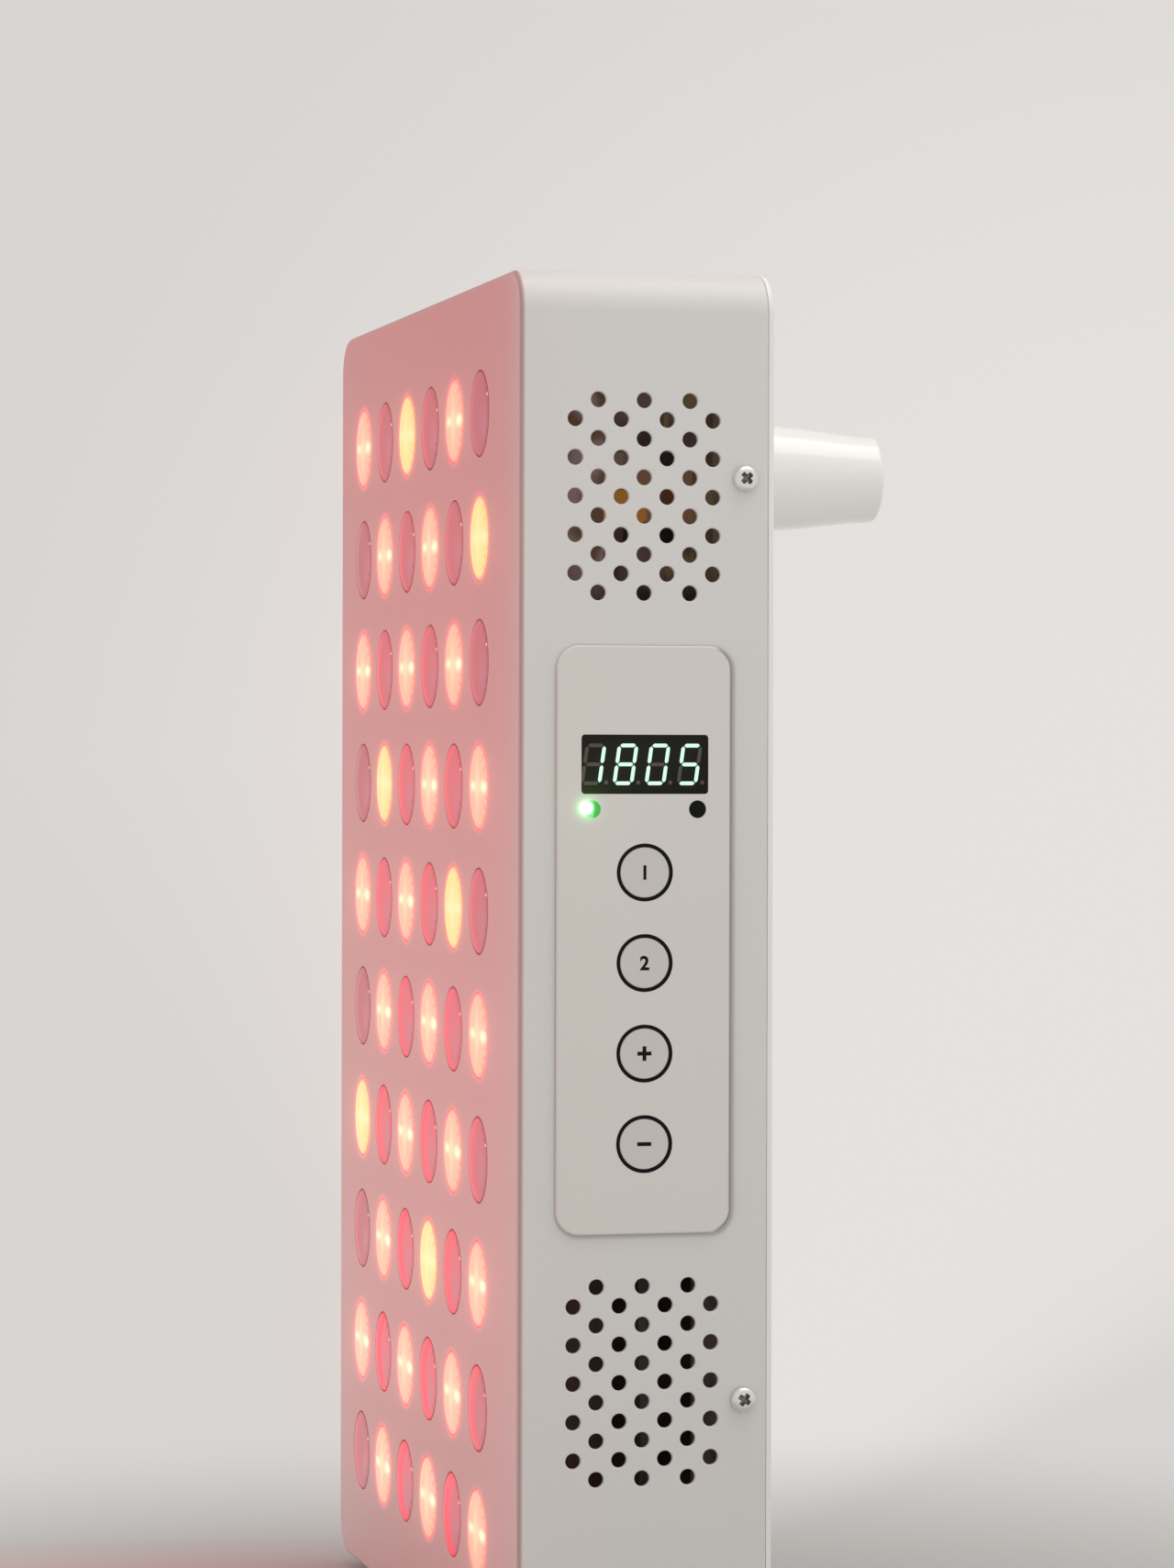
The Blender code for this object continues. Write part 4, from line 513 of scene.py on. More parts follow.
def case_shading(paint, colour):
    """The front fold is painted a darker pinkish brown, painted shade and red light on the bend, and a faint
    painted shadow lies beside the overlay, offset back and down, and fades with the distance from it."""
    depth = paint.axis(1)
    front = CASE_LOW.y
    # Painted shade and red light: the front fold is tinted a darker pinkish brown.
    fold_in = paint.ramp(depth, front, front + FOLD * 0.40)
    fold_out = paint.ramp(depth, front + FOLD * 0.45, front + FOLD, 1.0, 0.0)
    colour = paint.over(colour, FOLD_SHADE_TINT, fold_in, fold_out)
    # Painted shadow: a darker band beside the overlay, offset back and down, fading away from it.
    distance = beyond_overlay(paint, OVERLAY_SHADOW_CORNER, OVERLAY_SHADOW_SHIFT)
    painted_shadow = paint.ramp(distance, OVERLAY_SHADOW_CORNER, OVERLAY_SHADOW_CORNER + OVERLAY_SHADOW_REACH, OVERLAY_SHADOW_SHARE, 0.0)
    return paint.over(colour, OVERLAY_SHADOW_TINT, painted_shadow, paint.ramp(paint.axis(0), 0.0, CASE_HIGH.x - CORNER))


powder_white = powder_coat("powder_white", POWDER_TINT, shading=case_shading)
inner_primer = powder_coat("inner_primer", PRIMER_TINT, roughness=0.7)
spill_share = powder_white.add("Attribute", output=2, attribute_name="spill")
powder_white.put(
    Emission_Color=SPILL_TINT, Emission_Strength=powder_white.times(spill_share, spill_share, SPILL_STRENGTH))

case_depth = CASE_HIGH.y - CASE_LOW.y
face_outline = rounded_outline(
    (CASE_LOW.x + FOLD, CASE_LOW.z + FOLD), (CASE_HIGH.x - FOLD, CASE_HIGH.z - FOLD), CORNER - FOLD, 12)
led_centres = np.array([
    (LED_FIRST[0] + column * LED_PITCH[0], LED_FIRST[1] - row * LED_PITCH[1])
    for row in range(LED_ROWS) for column in range(LED_COLUMNS)])
rim_outer = quarter(RIM_ROLL, 3)[:, ::-1] * (-1, 1) + (FOLD, case_depth - RIM_ROLL)
rim_inner = rim_outer * (-1, 1) + (2 * FOLD - SHEET, 0)
case_blocks = skins(
    carried(face_outline, [(0, 0)])[0], carried(face_outline, [(0, SHEET)])[0],
    round_holes(led_centres, LED_HOLE_RADIUS, sides=56), HOLE_ROLL, 1, SPILL_WIDTH)
case_blocks.append(belt(carried(face_outline, quarter(FOLD))))
case_blocks.append(belt(carried(face_outline, quarter(FOLD - SHEET) + (0, SHEET)), 1))
case_blocks.append(belt(carried(face_outline, np.concatenate([rim_outer, rim_inner[::-1]]))))
for chosen in np.split(np.arange(len(face_outline[0])), 4):
    corner_outline = [rows[chosen] for rows in face_outline]
    for finish, reach in ((0, FOLD), (1, FOLD - SHEET)):
        corner_wall = carried(corner_outline, [(reach, FOLD), (reach, case_depth - RIM_ROLL)])
        case_blocks.append(belt(corner_wall, finish, closed=False))
case_blocks = on_face(case_blocks, CASE_LOW.y, 1)

grille_centres = [
    CONTROL_CENTRE + (
        (2 * place - 2 - row % 2) * GRILLE_HALF_PITCH,
        rise + ((GRILLE_ROWS - 1) / 2 - row) * GRILLE_ROW_PITCH)
    for rise in (GRILLE_RISE, -GRILLE_RISE) for row in range(GRILLE_ROWS) for place in range(3 + row % 2)]
screw_holes = round_holes([(COVER_SCREW_Y, height) for height in COVER_SCREW_HEIGHTS], COVER_SCREW_HOLE)
key_centres = [CONTROL_CENTRE + (0, KEY_FIRST_RISE - index * KEY_PITCH) for index in range(4)]
indicator_centres = [CONTROL_CENTRE + (sign * INDICATOR_REACH, INDICATOR_RISE) for sign in (-1, 1)]
window_middle = CONTROL_CENTRE + (0, WINDOW_RISE)
control_holes = round_holes(grille_centres, GRILLE_HOLE_RADIUS, sides=28) + screw_holes
control_holes += [rectangle_outline(window_middle, WINDOW_SIZE + 2 * GAP, CUT_CORNER)]
control_holes += round_holes(key_centres, KEY_STEM_HOLE)
control_holes += round_holes(indicator_centres, INDICATOR_HOLE, sides=24)
side_low = (CASE_LOW.y + FOLD, CASE_LOW.z + CORNER)
side_high = (CASE_HIGH.y - RIM_ROLL, CASE_HIGH.z - CORNER)
for sign, holes in ((1, control_holes), (-1, screw_holes)):
    case_blocks += on_side(wall(side_low, side_high, holes), sign * CASE_HIGH.x, sign)
end_low = (CASE_LOW.x + CORNER, CASE_LOW.y + FOLD)
end_high = (CASE_HIGH.x - CORNER, CASE_HIGH.y - RIM_ROLL)
for z, inward, holes in ((CASE_HIGH.z, -1, []), (CASE_LOW.z, 1, round_holes(FOOT_PLACES, FOOT_STEM_HOLE))):
    case_blocks += laid(wall(end_low, end_high, holes), (0, 0, z), (1, 0, 0), (0, 1, 0), (0, 0, inward))
case_blocks += [peg(STUD_SIZE, (CASE_HIGH.x - SHEET, *place), (-1, 0, 0), 1) for place in STUD_PLACES]
case_blocks += [peg(PILLAR_SIZE, (x, CASE_LOW.y + SHEET, z), (0, 1, 0), 1) for x, z in PILLAR_PLACES]
front_case = surface(
    "case_front_tray", case_blocks, [powder_white, inner_primer], "case", "powder_white", "front_case",
    weighted=True)


def mesh_points(mesh):
    """All vertices of a mesh as rows of x, y and z."""
    points = np.zeros(len(mesh.vertices) * 3)
    mesh.vertices.foreach_get("co", points)
    return points.reshape(-1, 3)


def mark_points(mesh, name, values):
    """Keep a number for each vertex of a mesh as an attribute."""
    mesh.attributes.new(name, "FLOAT", "POINT").data.foreach_set("value", values.astype(np.float32))


# The light that leaks around a lit lens: it is nearly 1 at the hole's edge, a little weaker in each nearer
# column, and falls evenly to 0 across the collar.
tray_points = mesh_points(front_case.data)
row_and_column = np.indices((LED_ROWS, LED_COLUMNS)).reshape(2, -1).T + 1
is_warm = (row_and_column[:, None] == WARM_LENSES).all(axis=2).any(axis=1)
is_lit = (row_and_column.sum(axis=1) % 2 == 0) | is_warm
reaches = np.linalg.norm(tray_points[:, None, [0, 2]] - led_centres[is_lit][None], axis=2)
spill = np.clip(1 - (reaches.min(axis=1) - LED_HOLE_RADIUS) / SPILL_WIDTH, 0, 1)
spill *= 1 - SPILL_FADE * row_and_column[is_lit][reaches.argmin(axis=1), 1]
spill[tray_points[:, 1] > CASE_LOW.y + SHEET * 0.9] = 0
mark_points(front_case.data, "spill", spill)


# Lenses. Clear moulded lenses on one carrier sheet, each standing in its hole just below the face. Every
# second one is lit, most in a peach red and a few warmer, and shows its two chips as hot spots.
LENS_RADIUS = 0.01034
LENS_EDGE = 0.0005
LENS_DEPTH = 0.00004
LENS_ROOT = 0.0066
CARRIER_THICKNESS = 0.0020
CARRIER_EDGE = 0.0002
CARRIER_LOW, CARRIER_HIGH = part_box("lens_array")
PEACH = (1.0, 0.215, 0.145)
PALE_YELLOW = (1.0, 0.320, 0.185)
WARM_YELLOW = (1.0, 0.335, 0.125)
WARM_STREAK = (1.0, 0.390, 0.180)
HOT_WHITE = (1.0, 0.460, 0.300)
ROSE_EDGE = (1.0, 0.110, 0.110)
NOTCH = (0.360, 0.100, 0.065)
LIT_STRENGTH = 1.75
HOT_STRENGTH = 2.1
STREAKS = [((-0.16, 0.0), (0.34, 0.92), 0.1, 0.8), ((-0.05, 0.0), (1.05, 0.34), 0.0, 0.75)]
NOTCHES = [
    ((0.46, 0.70), (0.22, 0.07), 0.5), ((0.62, 0.44), (0.22, 0.06), 0.4), ((0.80, 0.16), (0.16, 0.04), 0.3),
    ((0.80, -0.26), (0.16, 0.04), -0.3), ((0.64, -0.47), (0.22, 0.06), -0.4),
    ((0.48, -0.70), (0.24, 0.06), -0.5)]
HOT_SPOTS = [((-0.60, 0.02), (0.42, 0.20), 0.80), ((0.55, 0.0), (0.52, 0.24), 1.0)]
HIGH_MAUVE = (0.420, 0.105, 0.135)
LOW_MAUVE = (0.620, 0.095, 0.140)
OUTER_MAUVE = (0.360, 0.115, 0.140)
GREY_VIOLET = (0.410, 0.150, 0.200)
CORAL = (1.12, 0.030, 0.080)
MAROON = (0.190, 0.028, 0.040)
LAMP_HIGHLIGHT_TINT = (0.80, 0.72, 0.74)
UNLIT_STRENGTH = 0.85
TEETH = [((0.52, 0.72), 0.8), ((0.70, 0.52), 0.5), ((0.74, -0.42), -0.4), ((0.56, -0.66), -0.7)]


def lens_profile():
    """Radius and depth rows of a lens: a flat front, a rounded shoulder, the straight side and a back."""
    flat = LENS_RADIUS - LENS_EDGE
    front = [(radius, LENS_DEPTH) for radius in np.linspace(0, flat, 5)]
    root = CARRIER_LOW.y + LENS_ROOT - CASE_LOW.y
    shoulder = quarter(LENS_EDGE)[1:] + (flat, LENS_DEPTH)
    return np.concatenate([front, shoulder, [(LENS_RADIUS, root), (0, root)]])


def lens_group(name, places, paint):
    """Lenses at the given places. Their UVs map each front from its centre to its rim. Two attributes give
    how far down its row is and how far along its column is, from 0 to 1."""
    blocks = [belt(turned(lens_profile(), 56, (x, CASE_LOW.y, z), (0, 1, 0))) for x, z in places]
    mesh = surface(name, blocks, [paint], "case", "clear_lens").data
    flat = mesh_points(mesh)[:, [0, 2]]
    nearest = np.round((flat - LED_FIRST) / LED_PITCH)
    offset = (flat - LED_FIRST - nearest * LED_PITCH) / LENS_RADIUS
    corners = np.zeros(len(mesh.loops), np.int32)
    mesh.loops.foreach_get("vertex_index", corners)
    chart = mesh.uv_layers.new(name="lens_front")
    chart.data.foreach_set("uv", (offset[corners] / 2 + 0.5).astype(np.float32).ravel())
    mark_points(mesh, "row_drop", -nearest[:, 1] / (LED_ROWS - 1))
    mark_points(mesh, "column", nearest[:, 0] / (LED_COLUMNS - 1))


class LensPaint(Paint):
    """A lens's paint, drawn on the front's own chart, which runs from -1 to 1 across it and up it."""

    def __init__(self, name, tint, level):
        super().__init__(name, tint, 0.12, Specular_IOR_Level=level)
        front = self.add("UVMap", uv_map="lens_front")
        self.chart = self.add("Mapping", {"Vector": front, "Location": (-1, -1, 0), "Scale": (2, 2, 1)})

    def spot(self, centre, size, lean=0.0, core=0.0):
        """A soft oval: 1 inside the core, falling smoothly to 0 at the oval's edge."""
        inputs = {
            "Vector": self.chart, "Location": (*centre, 0), "Rotation": (0, 0, lean), "Scale": (*size, 1)}
        return self.ramp(self.reach(self.add("Mapping", inputs, vector_type="TEXTURE")), 1.0, core)

    def rim(self, start, end):
        """A ring that grows from a start to an end near the rim."""
        return self.ramp(self.reach(self.chart), start, end)


def lit_lens(name, body_tint, streak_tint, notch_strength, hot_share):
    """A lit lens: its body glow, a pale streak and waist, dark notches, a rosy rim and two hot spots."""
    paint = LensPaint(name, (0.02, 0.01, 0.01), 0.15)
    colour = body_tint
    for centre, size, core, strength in STREAKS:
        colour = paint.over(colour, streak_tint, paint.spot(centre, size, core=core), strength)
    for centre, size, lean in NOTCHES:
        colour = paint.over(colour, NOTCH, paint.spot(centre, size, lean, 0.2), notch_strength)
    colour = paint.over(colour, ROSE_EDGE, paint.rim(0.88, 1.0), 0.9)
    heat = 0.0
    for centre, size, share in HOT_SPOTS:
        hot = paint.times(paint.spot(centre, size), share * hot_share)
        colour = paint.over(colour, HOT_WHITE, hot)
        heat = paint.math("ADD", heat, hot)
    paint.put(Emission_Color=colour, Emission_Strength=paint.ramp(heat, 0.2, 1.0, LIT_STRENGTH, HOT_STRENGTH))
    return paint


def dark_lens(name):
    """An unlit lens, its look painted as a glow: mauve light from its lit neighbours, redder down the rows,
    with a coral crescent of leaked light on the far side that grows down the rows and fades in the outer
    columns, a grey-violet patch, a maroon painted shadow at the rim, and a few dark teeth by the near rim
    with a painted white highlight of the lamp."""
    paint = LensPaint(name, (0.10, 0.05, 0.055), 0.12)
    drop, column = (paint.add("Attribute", output=2, attribute_name=name) for name in ("row_drop", "column"))
    colour = paint.mix(paint.ramp(drop, 0.0, 0.5), HIGH_MAUVE, LOW_MAUVE)
    colour = paint.over(colour, OUTER_MAUVE, paint.ramp(column, 0.2, 0.0))
    colour = paint.over(colour, OUTER_MAUVE, paint.ramp(column, 0.8, 1.2))
    colour = paint.over(colour, GREY_VIOLET, paint.spot((0.45, -0.30), (0.70, 0.75)), 0.8)
    near = paint.ramp(column, 0.0, 0.2, 0.12, 1.0)
    far = paint.ramp(column, 0.6, 1.0, 1.0, 0.35)
    for place, size, growing in (
            (0.52, 1.20, paint.ramp(drop, 0.0, 0.75, 0.22, 1.0)), (0.89, 1.18, paint.ramp(drop, 0.55, 0.85))):
        inner = paint.spot((place, 0.0), (size, 1.05), core=0.88)
        colour = paint.over(colour, CORAL, paint.math("SUBTRACT", 1.0, inner), growing, near, far)
    colour = paint.over(colour, MAROON, paint.rim(0.94, 0.99), 0.7)
    for centre, lean in TEETH:
        colour = paint.over(colour, MAROON, paint.spot(centre, (0.16, 0.045), lean, 0.3), 0.55)
    colour = paint.over(colour, LAMP_HIGHLIGHT_TINT, paint.spot((0.80, 0.40), (0.09, 0.05), core=0.3))
    paint.put(Emission_Color=colour, Emission_Strength=UNLIT_STRENGTH)
    return paint


def filled(rim, holes=(), roll=0.0):
    """A closed plate: its rim, the skins of the rim's end rings, and its holes."""
    return skins(rim[0], rim[-1], holes, roll) + [belt(rim)]


clear_carrier = powder_coat("clear_carrier", (0.75, 0.72, 0.72), roughness=0.25, grain=0.00005)
carrier_back = CARRIER_HIGH.y - CASE_LOW.y
carrier_front = carrier_back - CARRIER_THICKNESS
carrier_rim = carried(
    box_outline("lens_array", 0, 0.003),
    [(-CARRIER_EDGE, carrier_front), (0, carrier_front + CARRIER_EDGE), (0, carrier_back)])
surface(
    "lens_carrier", on_face(filled(carrier_rim), CASE_LOW.y, 1), [clear_carrier], "case", "clear_lens",
    "lens_array")
lit_peach = lit_lens("lens_lit_peach", PEACH, PALE_YELLOW, 0.75, 1.0)
lit_warm = lit_lens("lens_lit_warm", WARM_YELLOW, WARM_STREAK, 0.4, 0.3)
lens_group("lenses_lit_peach", led_centres[is_lit & ~is_warm], lit_peach)
lens_group("lenses_lit_warm", led_centres[is_warm], lit_warm)
lens_group("lenses_unlit", led_centres[~is_lit], dark_lens("lens_unlit"))


# Control overlay. A thick white plate with a rounded edge, glued to the side and open for the display's pane,
# the two indicators and the four keys. The lit indicator casts a green light on it.
OVERLAY_LOW, OVERLAY_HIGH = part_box("control_overlay")
OVERLAY_CORNER = 0.0055
OVERLAY_EDGE = 0.00050
OVERLAY_UNDERCUT = 0.00025
OVERLAY_HOLE_ROLL = 0.00006
KEY_HOLE_RADIUS = 0.00635
WINDOW_GAP = 0.00004
INDICATOR_RADIUS = 0.00203
OVERLAY_TINT = (0.775, 0.755, 0.722)
OVERLAY_SHADE = (0.330, 0.318, 0.300)
OVERLAY_SHADE_WIDTH = 0.0009
GREEN_CAST = (0.14, 1.0, 0.18)
WHITE_CAST = (0.80, 1.0, 0.76)
CAST_PLACE = (0.0006 - INDICATOR_RADIUS, 0.0003)
CAST_REACH = 0.0052
CAST_CORE = (0.0024, 0.0010)
CAST_STRENGTH = 0.60
CORE_STRENGTH = 0.45


def slab(outline, holes, front, thickness, edge, roll=0.0, undercut=0.0):
    """A closed flat plate with a rolled front edge, from its front depth through its thickness. An undercut
    sets its foot back from its outline."""
    rows = [rolled(edge) * (-1, 1) + (0, front)]
    if undercut:
        rows.append([(0, front + thickness - undercut), (-undercut, front + thickness - undercut)])
    rows.append([(-undercut, front + thickness)])
    return filled(carried(outline, np.concatenate(rows)), holes, roll)


def overlay_shading(paint, colour):
    """The rolled edge on the side away from the lit face is shaded: the shade grows towards the outline over
    half its width, and towards that side over the plate's corner."""
    inner = OVERLAY_CORNER - OVERLAY_SHADE_WIDTH
    edge = paint.ramp(beyond_overlay(paint, OVERLAY_CORNER), inner, inner + OVERLAY_SHADE_WIDTH * 0.5)
    back = OVERLAY_HIGH.y
    far = paint.ramp(paint.axis(1), back - OVERLAY_CORNER * 0.9, back - OVERLAY_CORNER * 0.3)
    return paint.over(colour, OVERLAY_SHADE, edge, far)


overlay_paint = powder_coat("overlay_white", OVERLAY_TINT, 0.34, 0.00005, overlay_shading)
cast_place = (OVERLAY_HIGH.x, *(indicator_centres[0] + CAST_PLACE).tolist())
cast_reach = overlay_paint.reach(overlay_paint.place(), cast_place)
cast_share = overlay_paint.ramp(cast_reach, CAST_REACH, 0.0)
cast_core = overlay_paint.ramp(cast_reach, *CAST_CORE)
cast_halo = overlay_paint.times(cast_share, cast_share, CAST_STRENGTH)
overlay_paint.put(
    Emission_Color=overlay_paint.mix(cast_core, GREEN_CAST, WHITE_CAST),
    Emission_Strength=overlay_paint.math("ADD", cast_halo, overlay_paint.times(cast_core, CORE_STRENGTH)))
overlay_holes = [rectangle_outline(window_middle, WINDOW_SIZE + 2 * WINDOW_GAP, 0.0008, 5)]
overlay_holes += round_holes(key_centres, KEY_HOLE_RADIUS, sides=64)
overlay_holes += round_holes(indicator_centres, INDICATOR_RADIUS + WINDOW_GAP, sides=40)
overlay_blocks = slab(
    box_outline("control_overlay", 1, OVERLAY_CORNER, 12), overlay_holes, 0, OVERLAY_HIGH.x - OVERLAY_LOW.x,
    OVERLAY_EDGE, OVERLAY_HOLE_ROLL, OVERLAY_UNDERCUT)
surface(
    "overlay_plate", on_side(overlay_blocks, OVERLAY_HIGH.x), [overlay_paint], "case", "overlay_white",
    "control_overlay", weighted=True)


# Display. A smoked pane flush in the overlay, with four slanted seven-segment digits that show plain
# numbers: lit bars in pale mint, unlit ones as grey ghosts, and a small point after each digit.
PANE_LOW, PANE_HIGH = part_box("display_window")
PANE_CORNER = 0.00076
PANE_EDGE = 0.00012
DIGIT_PITCH = 0.00775
DIGIT_HEIGHT = 0.0097
DIGIT_WIDTH = 0.0050
DIGITS_SHIFT = -0.00085
BAR_WIDTH = 0.00086
BAR_GAP = 0.00020
POINT_RADIUS = 0.0005
POINT_GAP = 0.0006
DIGIT_LEAN = math.tan(math.radians(8))
DIGIT_SHOWN = "1805"
BAR_LIFT = 0.00003
SEGMENTS = {"0": "abcdef", "1": "bc", "5": "acdfg", "8": "abcdefg"}
PANE_TINT = (0.0110, 0.0100, 0.0080)
MINT_LOW = (0.58, 1.0, 0.76)
MINT_HIGH = (0.72, 1.0, 0.86)
GHOST = (0.100, 0.094, 0.082)


def bar_outline(centre, along, length):
    """Six corners of one pointed bar: its ends, and its shoulders half a bar's width in from them."""
    half = length / 2
    shoulder = half - BAR_WIDTH / 2
    run = np.array([-half, -shoulder, shoulder, half, shoulder, -shoulder])
    side = np.array([0, 1, 1, 0, -1, -1]) * BAR_WIDTH / 2
    return np.stack([run, side] if along == "across" else [side, run], axis=1) + centre


def digit_bars():
    """Centre, direction and length of the seven bars of a digit, by their usual letters."""
    reach = (DIGIT_WIDTH - BAR_WIDTH) / 2
    rise = (DIGIT_HEIGHT - BAR_WIDTH) / 2
    across = 2 * reach - 2 * BAR_GAP
    upright = rise - 2 * BAR_GAP
    return {
        "a": ((0, rise), "across", across), "g": ((0, 0), "across", across),
        "d": ((0, -rise), "across", across),
        "b": ((reach, rise / 2), "up", upright), "c": ((reach, -rise / 2), "up", upright),
        "e": ((-reach, -rise / 2), "up", upright), "f": ((-reach, rise / 2), "up", upright)}


def capped(rings):
    """A belt whose first and last rings are closed by a face."""
    return [belt(rings)] + [(ring, np.arange(len(ring))[None, :], 0) for ring in (rings[0], rings[-1])]


def thin_blocks(outlines, front, thickness):
    """Thin closed plates from outlines, each carried from its front straight through its thickness."""
    rows = [(0, front), (0, front + thickness)]
    return [block for outline in outlines for block in capped(carried((outline, 0 * outline), rows))]


pane_paint = Paint("smoked_pane", PANE_TINT, 0.14, Specular_IOR_Level=0.10)
pane_paint.put(Roughness=pane_paint.ramp(noise(pane_paint, 160.0, 3.0), 0.3, 0.7, 0.10, 0.18))
pane_outline = box_outline("display_window", 1, PANE_CORNER, 5)
pane_blocks = slab(pane_outline, [], 0, PANE_HIGH.x - PANE_LOW.x, PANE_EDGE)
surface(
    "display_pane", on_side(pane_blocks, PANE_HIGH.x), [pane_paint], "case", "dark_pane", "display_window")

lit_bars = []
ghost_bars = []
for index, shown in enumerate(DIGIT_SHOWN):
    digit_centre = window_middle + (DIGITS_SHIFT + (index - 1.5) * DIGIT_PITCH, 0)
    for letter, (centre, along, length) in digit_bars().items():
        corners = bar_outline(centre, along, length)
        corners[:, 0] += corners[:, 1] * DIGIT_LEAN
        chosen_bars = lit_bars if letter in SEGMENTS[shown] else ghost_bars
        chosen_bars.append(corners + digit_centre)
    point_centre = digit_centre + (DIGIT_WIDTH / 2 + POINT_GAP, POINT_GAP - DIGIT_HEIGHT / 2)
    ghost_bars.append(round_outline(point_centre, POINT_RADIUS, 12)[0])
mint_light = Paint("display_mint", (0.05, 0.06, 0.05), 0.4, Emission_Strength=1.05)
mint_light.put(Emission_Color=mint_light.mix(noise(mint_light, 900.0), MINT_LOW, MINT_HIGH))
ghost_paint = Paint("display_ghost", GHOST, 0.5, Specular_IOR_Level=0.10)
ghost_paint.put(Base_Color=clouded(ghost_paint, noise(ghost_paint, 900.0), GHOST, 0.8, 1.2))
for name, bars, paint in (
        ("display_bars_lit", lit_bars, mint_light), ("display_bars_unlit", ghost_bars, ghost_paint)):
    bar_blocks = on_side(thin_blocks(bars, -BAR_LIFT, 2 * BAR_LIFT), PANE_HIGH.x)
    surface(name, bar_blocks, [paint], "case", "display_black")


# Indicators. Two round light pipes in the overlay: the left one is lit green, brightest towards the lit
# face, and the right one is dark.
PIPE_EDGE = 0.0002
PIPE_RIM_DEPTH = 0.0001
GREEN_LEFT = (0.15, 0.85, 0.20)
GREEN_RIGHT = (0.035, 0.300, 0.035)
GREEN_HOT = (0.20, 1.0, 0.19)
GREEN_TURN = (0.0018, 0.0028)
GREEN_CORE = (0.0021, 0.0010)
GREEN_HOT_STRENGTH = 7.0


def light_pipe(node, slot, centre, paint):
    """A pipe with a domed end: the dome's height falls with the square of its radius."""
    low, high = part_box(node)
    face = OVERLAY_HIGH.x
    radii = np.linspace(0, INDICATOR_RADIUS - PIPE_EDGE, 6)
    dome = np.stack([radii, (high.x - face) * (1 - (radii / INDICATOR_RADIUS) ** 2)], axis=1)
    side = [(INDICATOR_RADIUS, -PIPE_RIM_DEPTH), (INDICATOR_RADIUS, low.x - face), (0, low.x - face)]
    rings = turned(np.concatenate([dome, side]), 40, (face, *centre), (1, 0, 0))
    surface(node + "_pipe", [belt(rings)], [paint], "case", slot, node)


def moulded_plastic(name, tint, roughness, grain=0.00006, **sockets):
    """Moulded plastic: one tint with faint flow clouds, and a fine spark-eroded grain."""
    paint = Paint(name, tint, roughness, **sockets)
    coated(paint, tint, roughness, noise(paint, 60.0, 4.0), (0.85, 1.15), (-0.05, 0.07))
    bumped(paint, noise(paint, 1800.0, 1.0), 0.35, grain)
    return paint


green_light = Paint("indicator_green", (0.01, 0.08, 0.02), 0.25)
green_start = indicator_centres[0][0] - INDICATOR_RADIUS
green_share = green_light.ramp(green_light.axis(1), green_start + GREEN_TURN[0], green_start + GREEN_TURN[1])
green_hot = green_light.ramp(green_light.reach(green_light.place(), cast_place), *GREEN_CORE)
green_colour = green_light.mix(green_share, GREEN_LEFT, GREEN_RIGHT)
green_light.put(
    Emission_Color=green_light.over(green_colour, GREEN_HOT, green_hot),
    Emission_Strength=green_light.ramp(green_hot, 0.0, 1.0, 1.0, GREEN_HOT_STRENGTH))
black_pipe = moulded_plastic(
    "indicator_black", (0.003, 0.004, 0.0035), 0.25, 0.00001, Specular_IOR_Level=0.12)
light_pipe("indicator_lit", "indicator_green", indicator_centres[0], green_light)
light_pipe("indicator_dark", "indicator_black", indicator_centres[1], black_pipe)


# Keys. Four round white caps on stems that press the switches behind the wall, each in a black rubber ring
# and marked with a plain number or sign.
KEY_RADIUS = 0.00592
KEY_EDGE = 0.00015
KEY_CAP_DEPTH = 0.0005
KEY_STEM_RADIUS = 0.0018
RING_INNER = 0.00595
RING_OUTER = 0.00679
RING_SEAT = KEY_HOLE_RADIUS - 0.00002
RING_LIFT = 0.00004
RING_LIP = 0.00005
RING_DEPTH = 0.0009
RING_PROFILE = [
    (RING_INNER, RING_LIFT / 2), (RING_OUTER - RING_LIFT, RING_LIFT), (RING_OUTER, 0),
    (RING_OUTER, -RING_LIP), (RING_SEAT, -RING_LIP), (RING_SEAT, -RING_DEPTH), (RING_INNER, -RING_DEPTH),
    (RING_INNER, RING_LIFT / 2)]
MARK_LIFT = 0.00002
MARK_HEIGHT = 0.0034
MARK_BOLDNESS = 0.03
KEY_MARKS = ("1", "2", "+", "−")
KEY_TINT = (0.690, 0.672, 0.655)

print_black = moulded_plastic("print_black", (0.006, 0.006, 0.006), 0.45, 0.00002, Specular_IOR_Level=0.1)
ring_rubber = moulded_plastic("ring_rubber", (0.005, 0.005, 0.005), 0.55, 0.00002, Specular_IOR_Level=0.1)
key_paint = powder_coat("key_white", KEY_TINT, roughness=0.36, grain=0.00005)


def flat_mark(name, character, centre, x):
    """A printed character on the control side: a text's outline filled as a mesh, then set upright there."""
    text_data = bpy.data.curves.new(name, "FONT")
    text_data.body = character
    text_data.align_x = "CENTER"
    text_data.align_y = "CENTER"
    text_data.offset = MARK_BOLDNESS
    text_data.extrude = 0.01
    holder = linked(name + "_text", text_data)
    bpy.context.view_layer.update()
    mesh = bpy.data.meshes.new_from_object(holder.evaluated_get(bpy.context.evaluated_depsgraph_get()))
    bpy.data.objects.remove(holder)
    points = mesh_points(mesh)
    low, high = points.min(axis=0), points.max(axis=0)
    local = (points - (high + low) / 2) * (MARK_HEIGHT / (high - low)[:2].max())
    depth = x + MARK_LIFT + np.sign(local[:, 2]) * MARK_LIFT / 2
    placed = np.stack([depth, centre[0] + local[:, 0], centre[1] + local[:, 1]], axis=1)
    mesh.vertices.foreach_set("co", placed.astype(np.float32).ravel())
    mesh.materials.clear()
    mesh.materials.append(print_black.material)
    mesh.update()
    return linked(name, mesh)


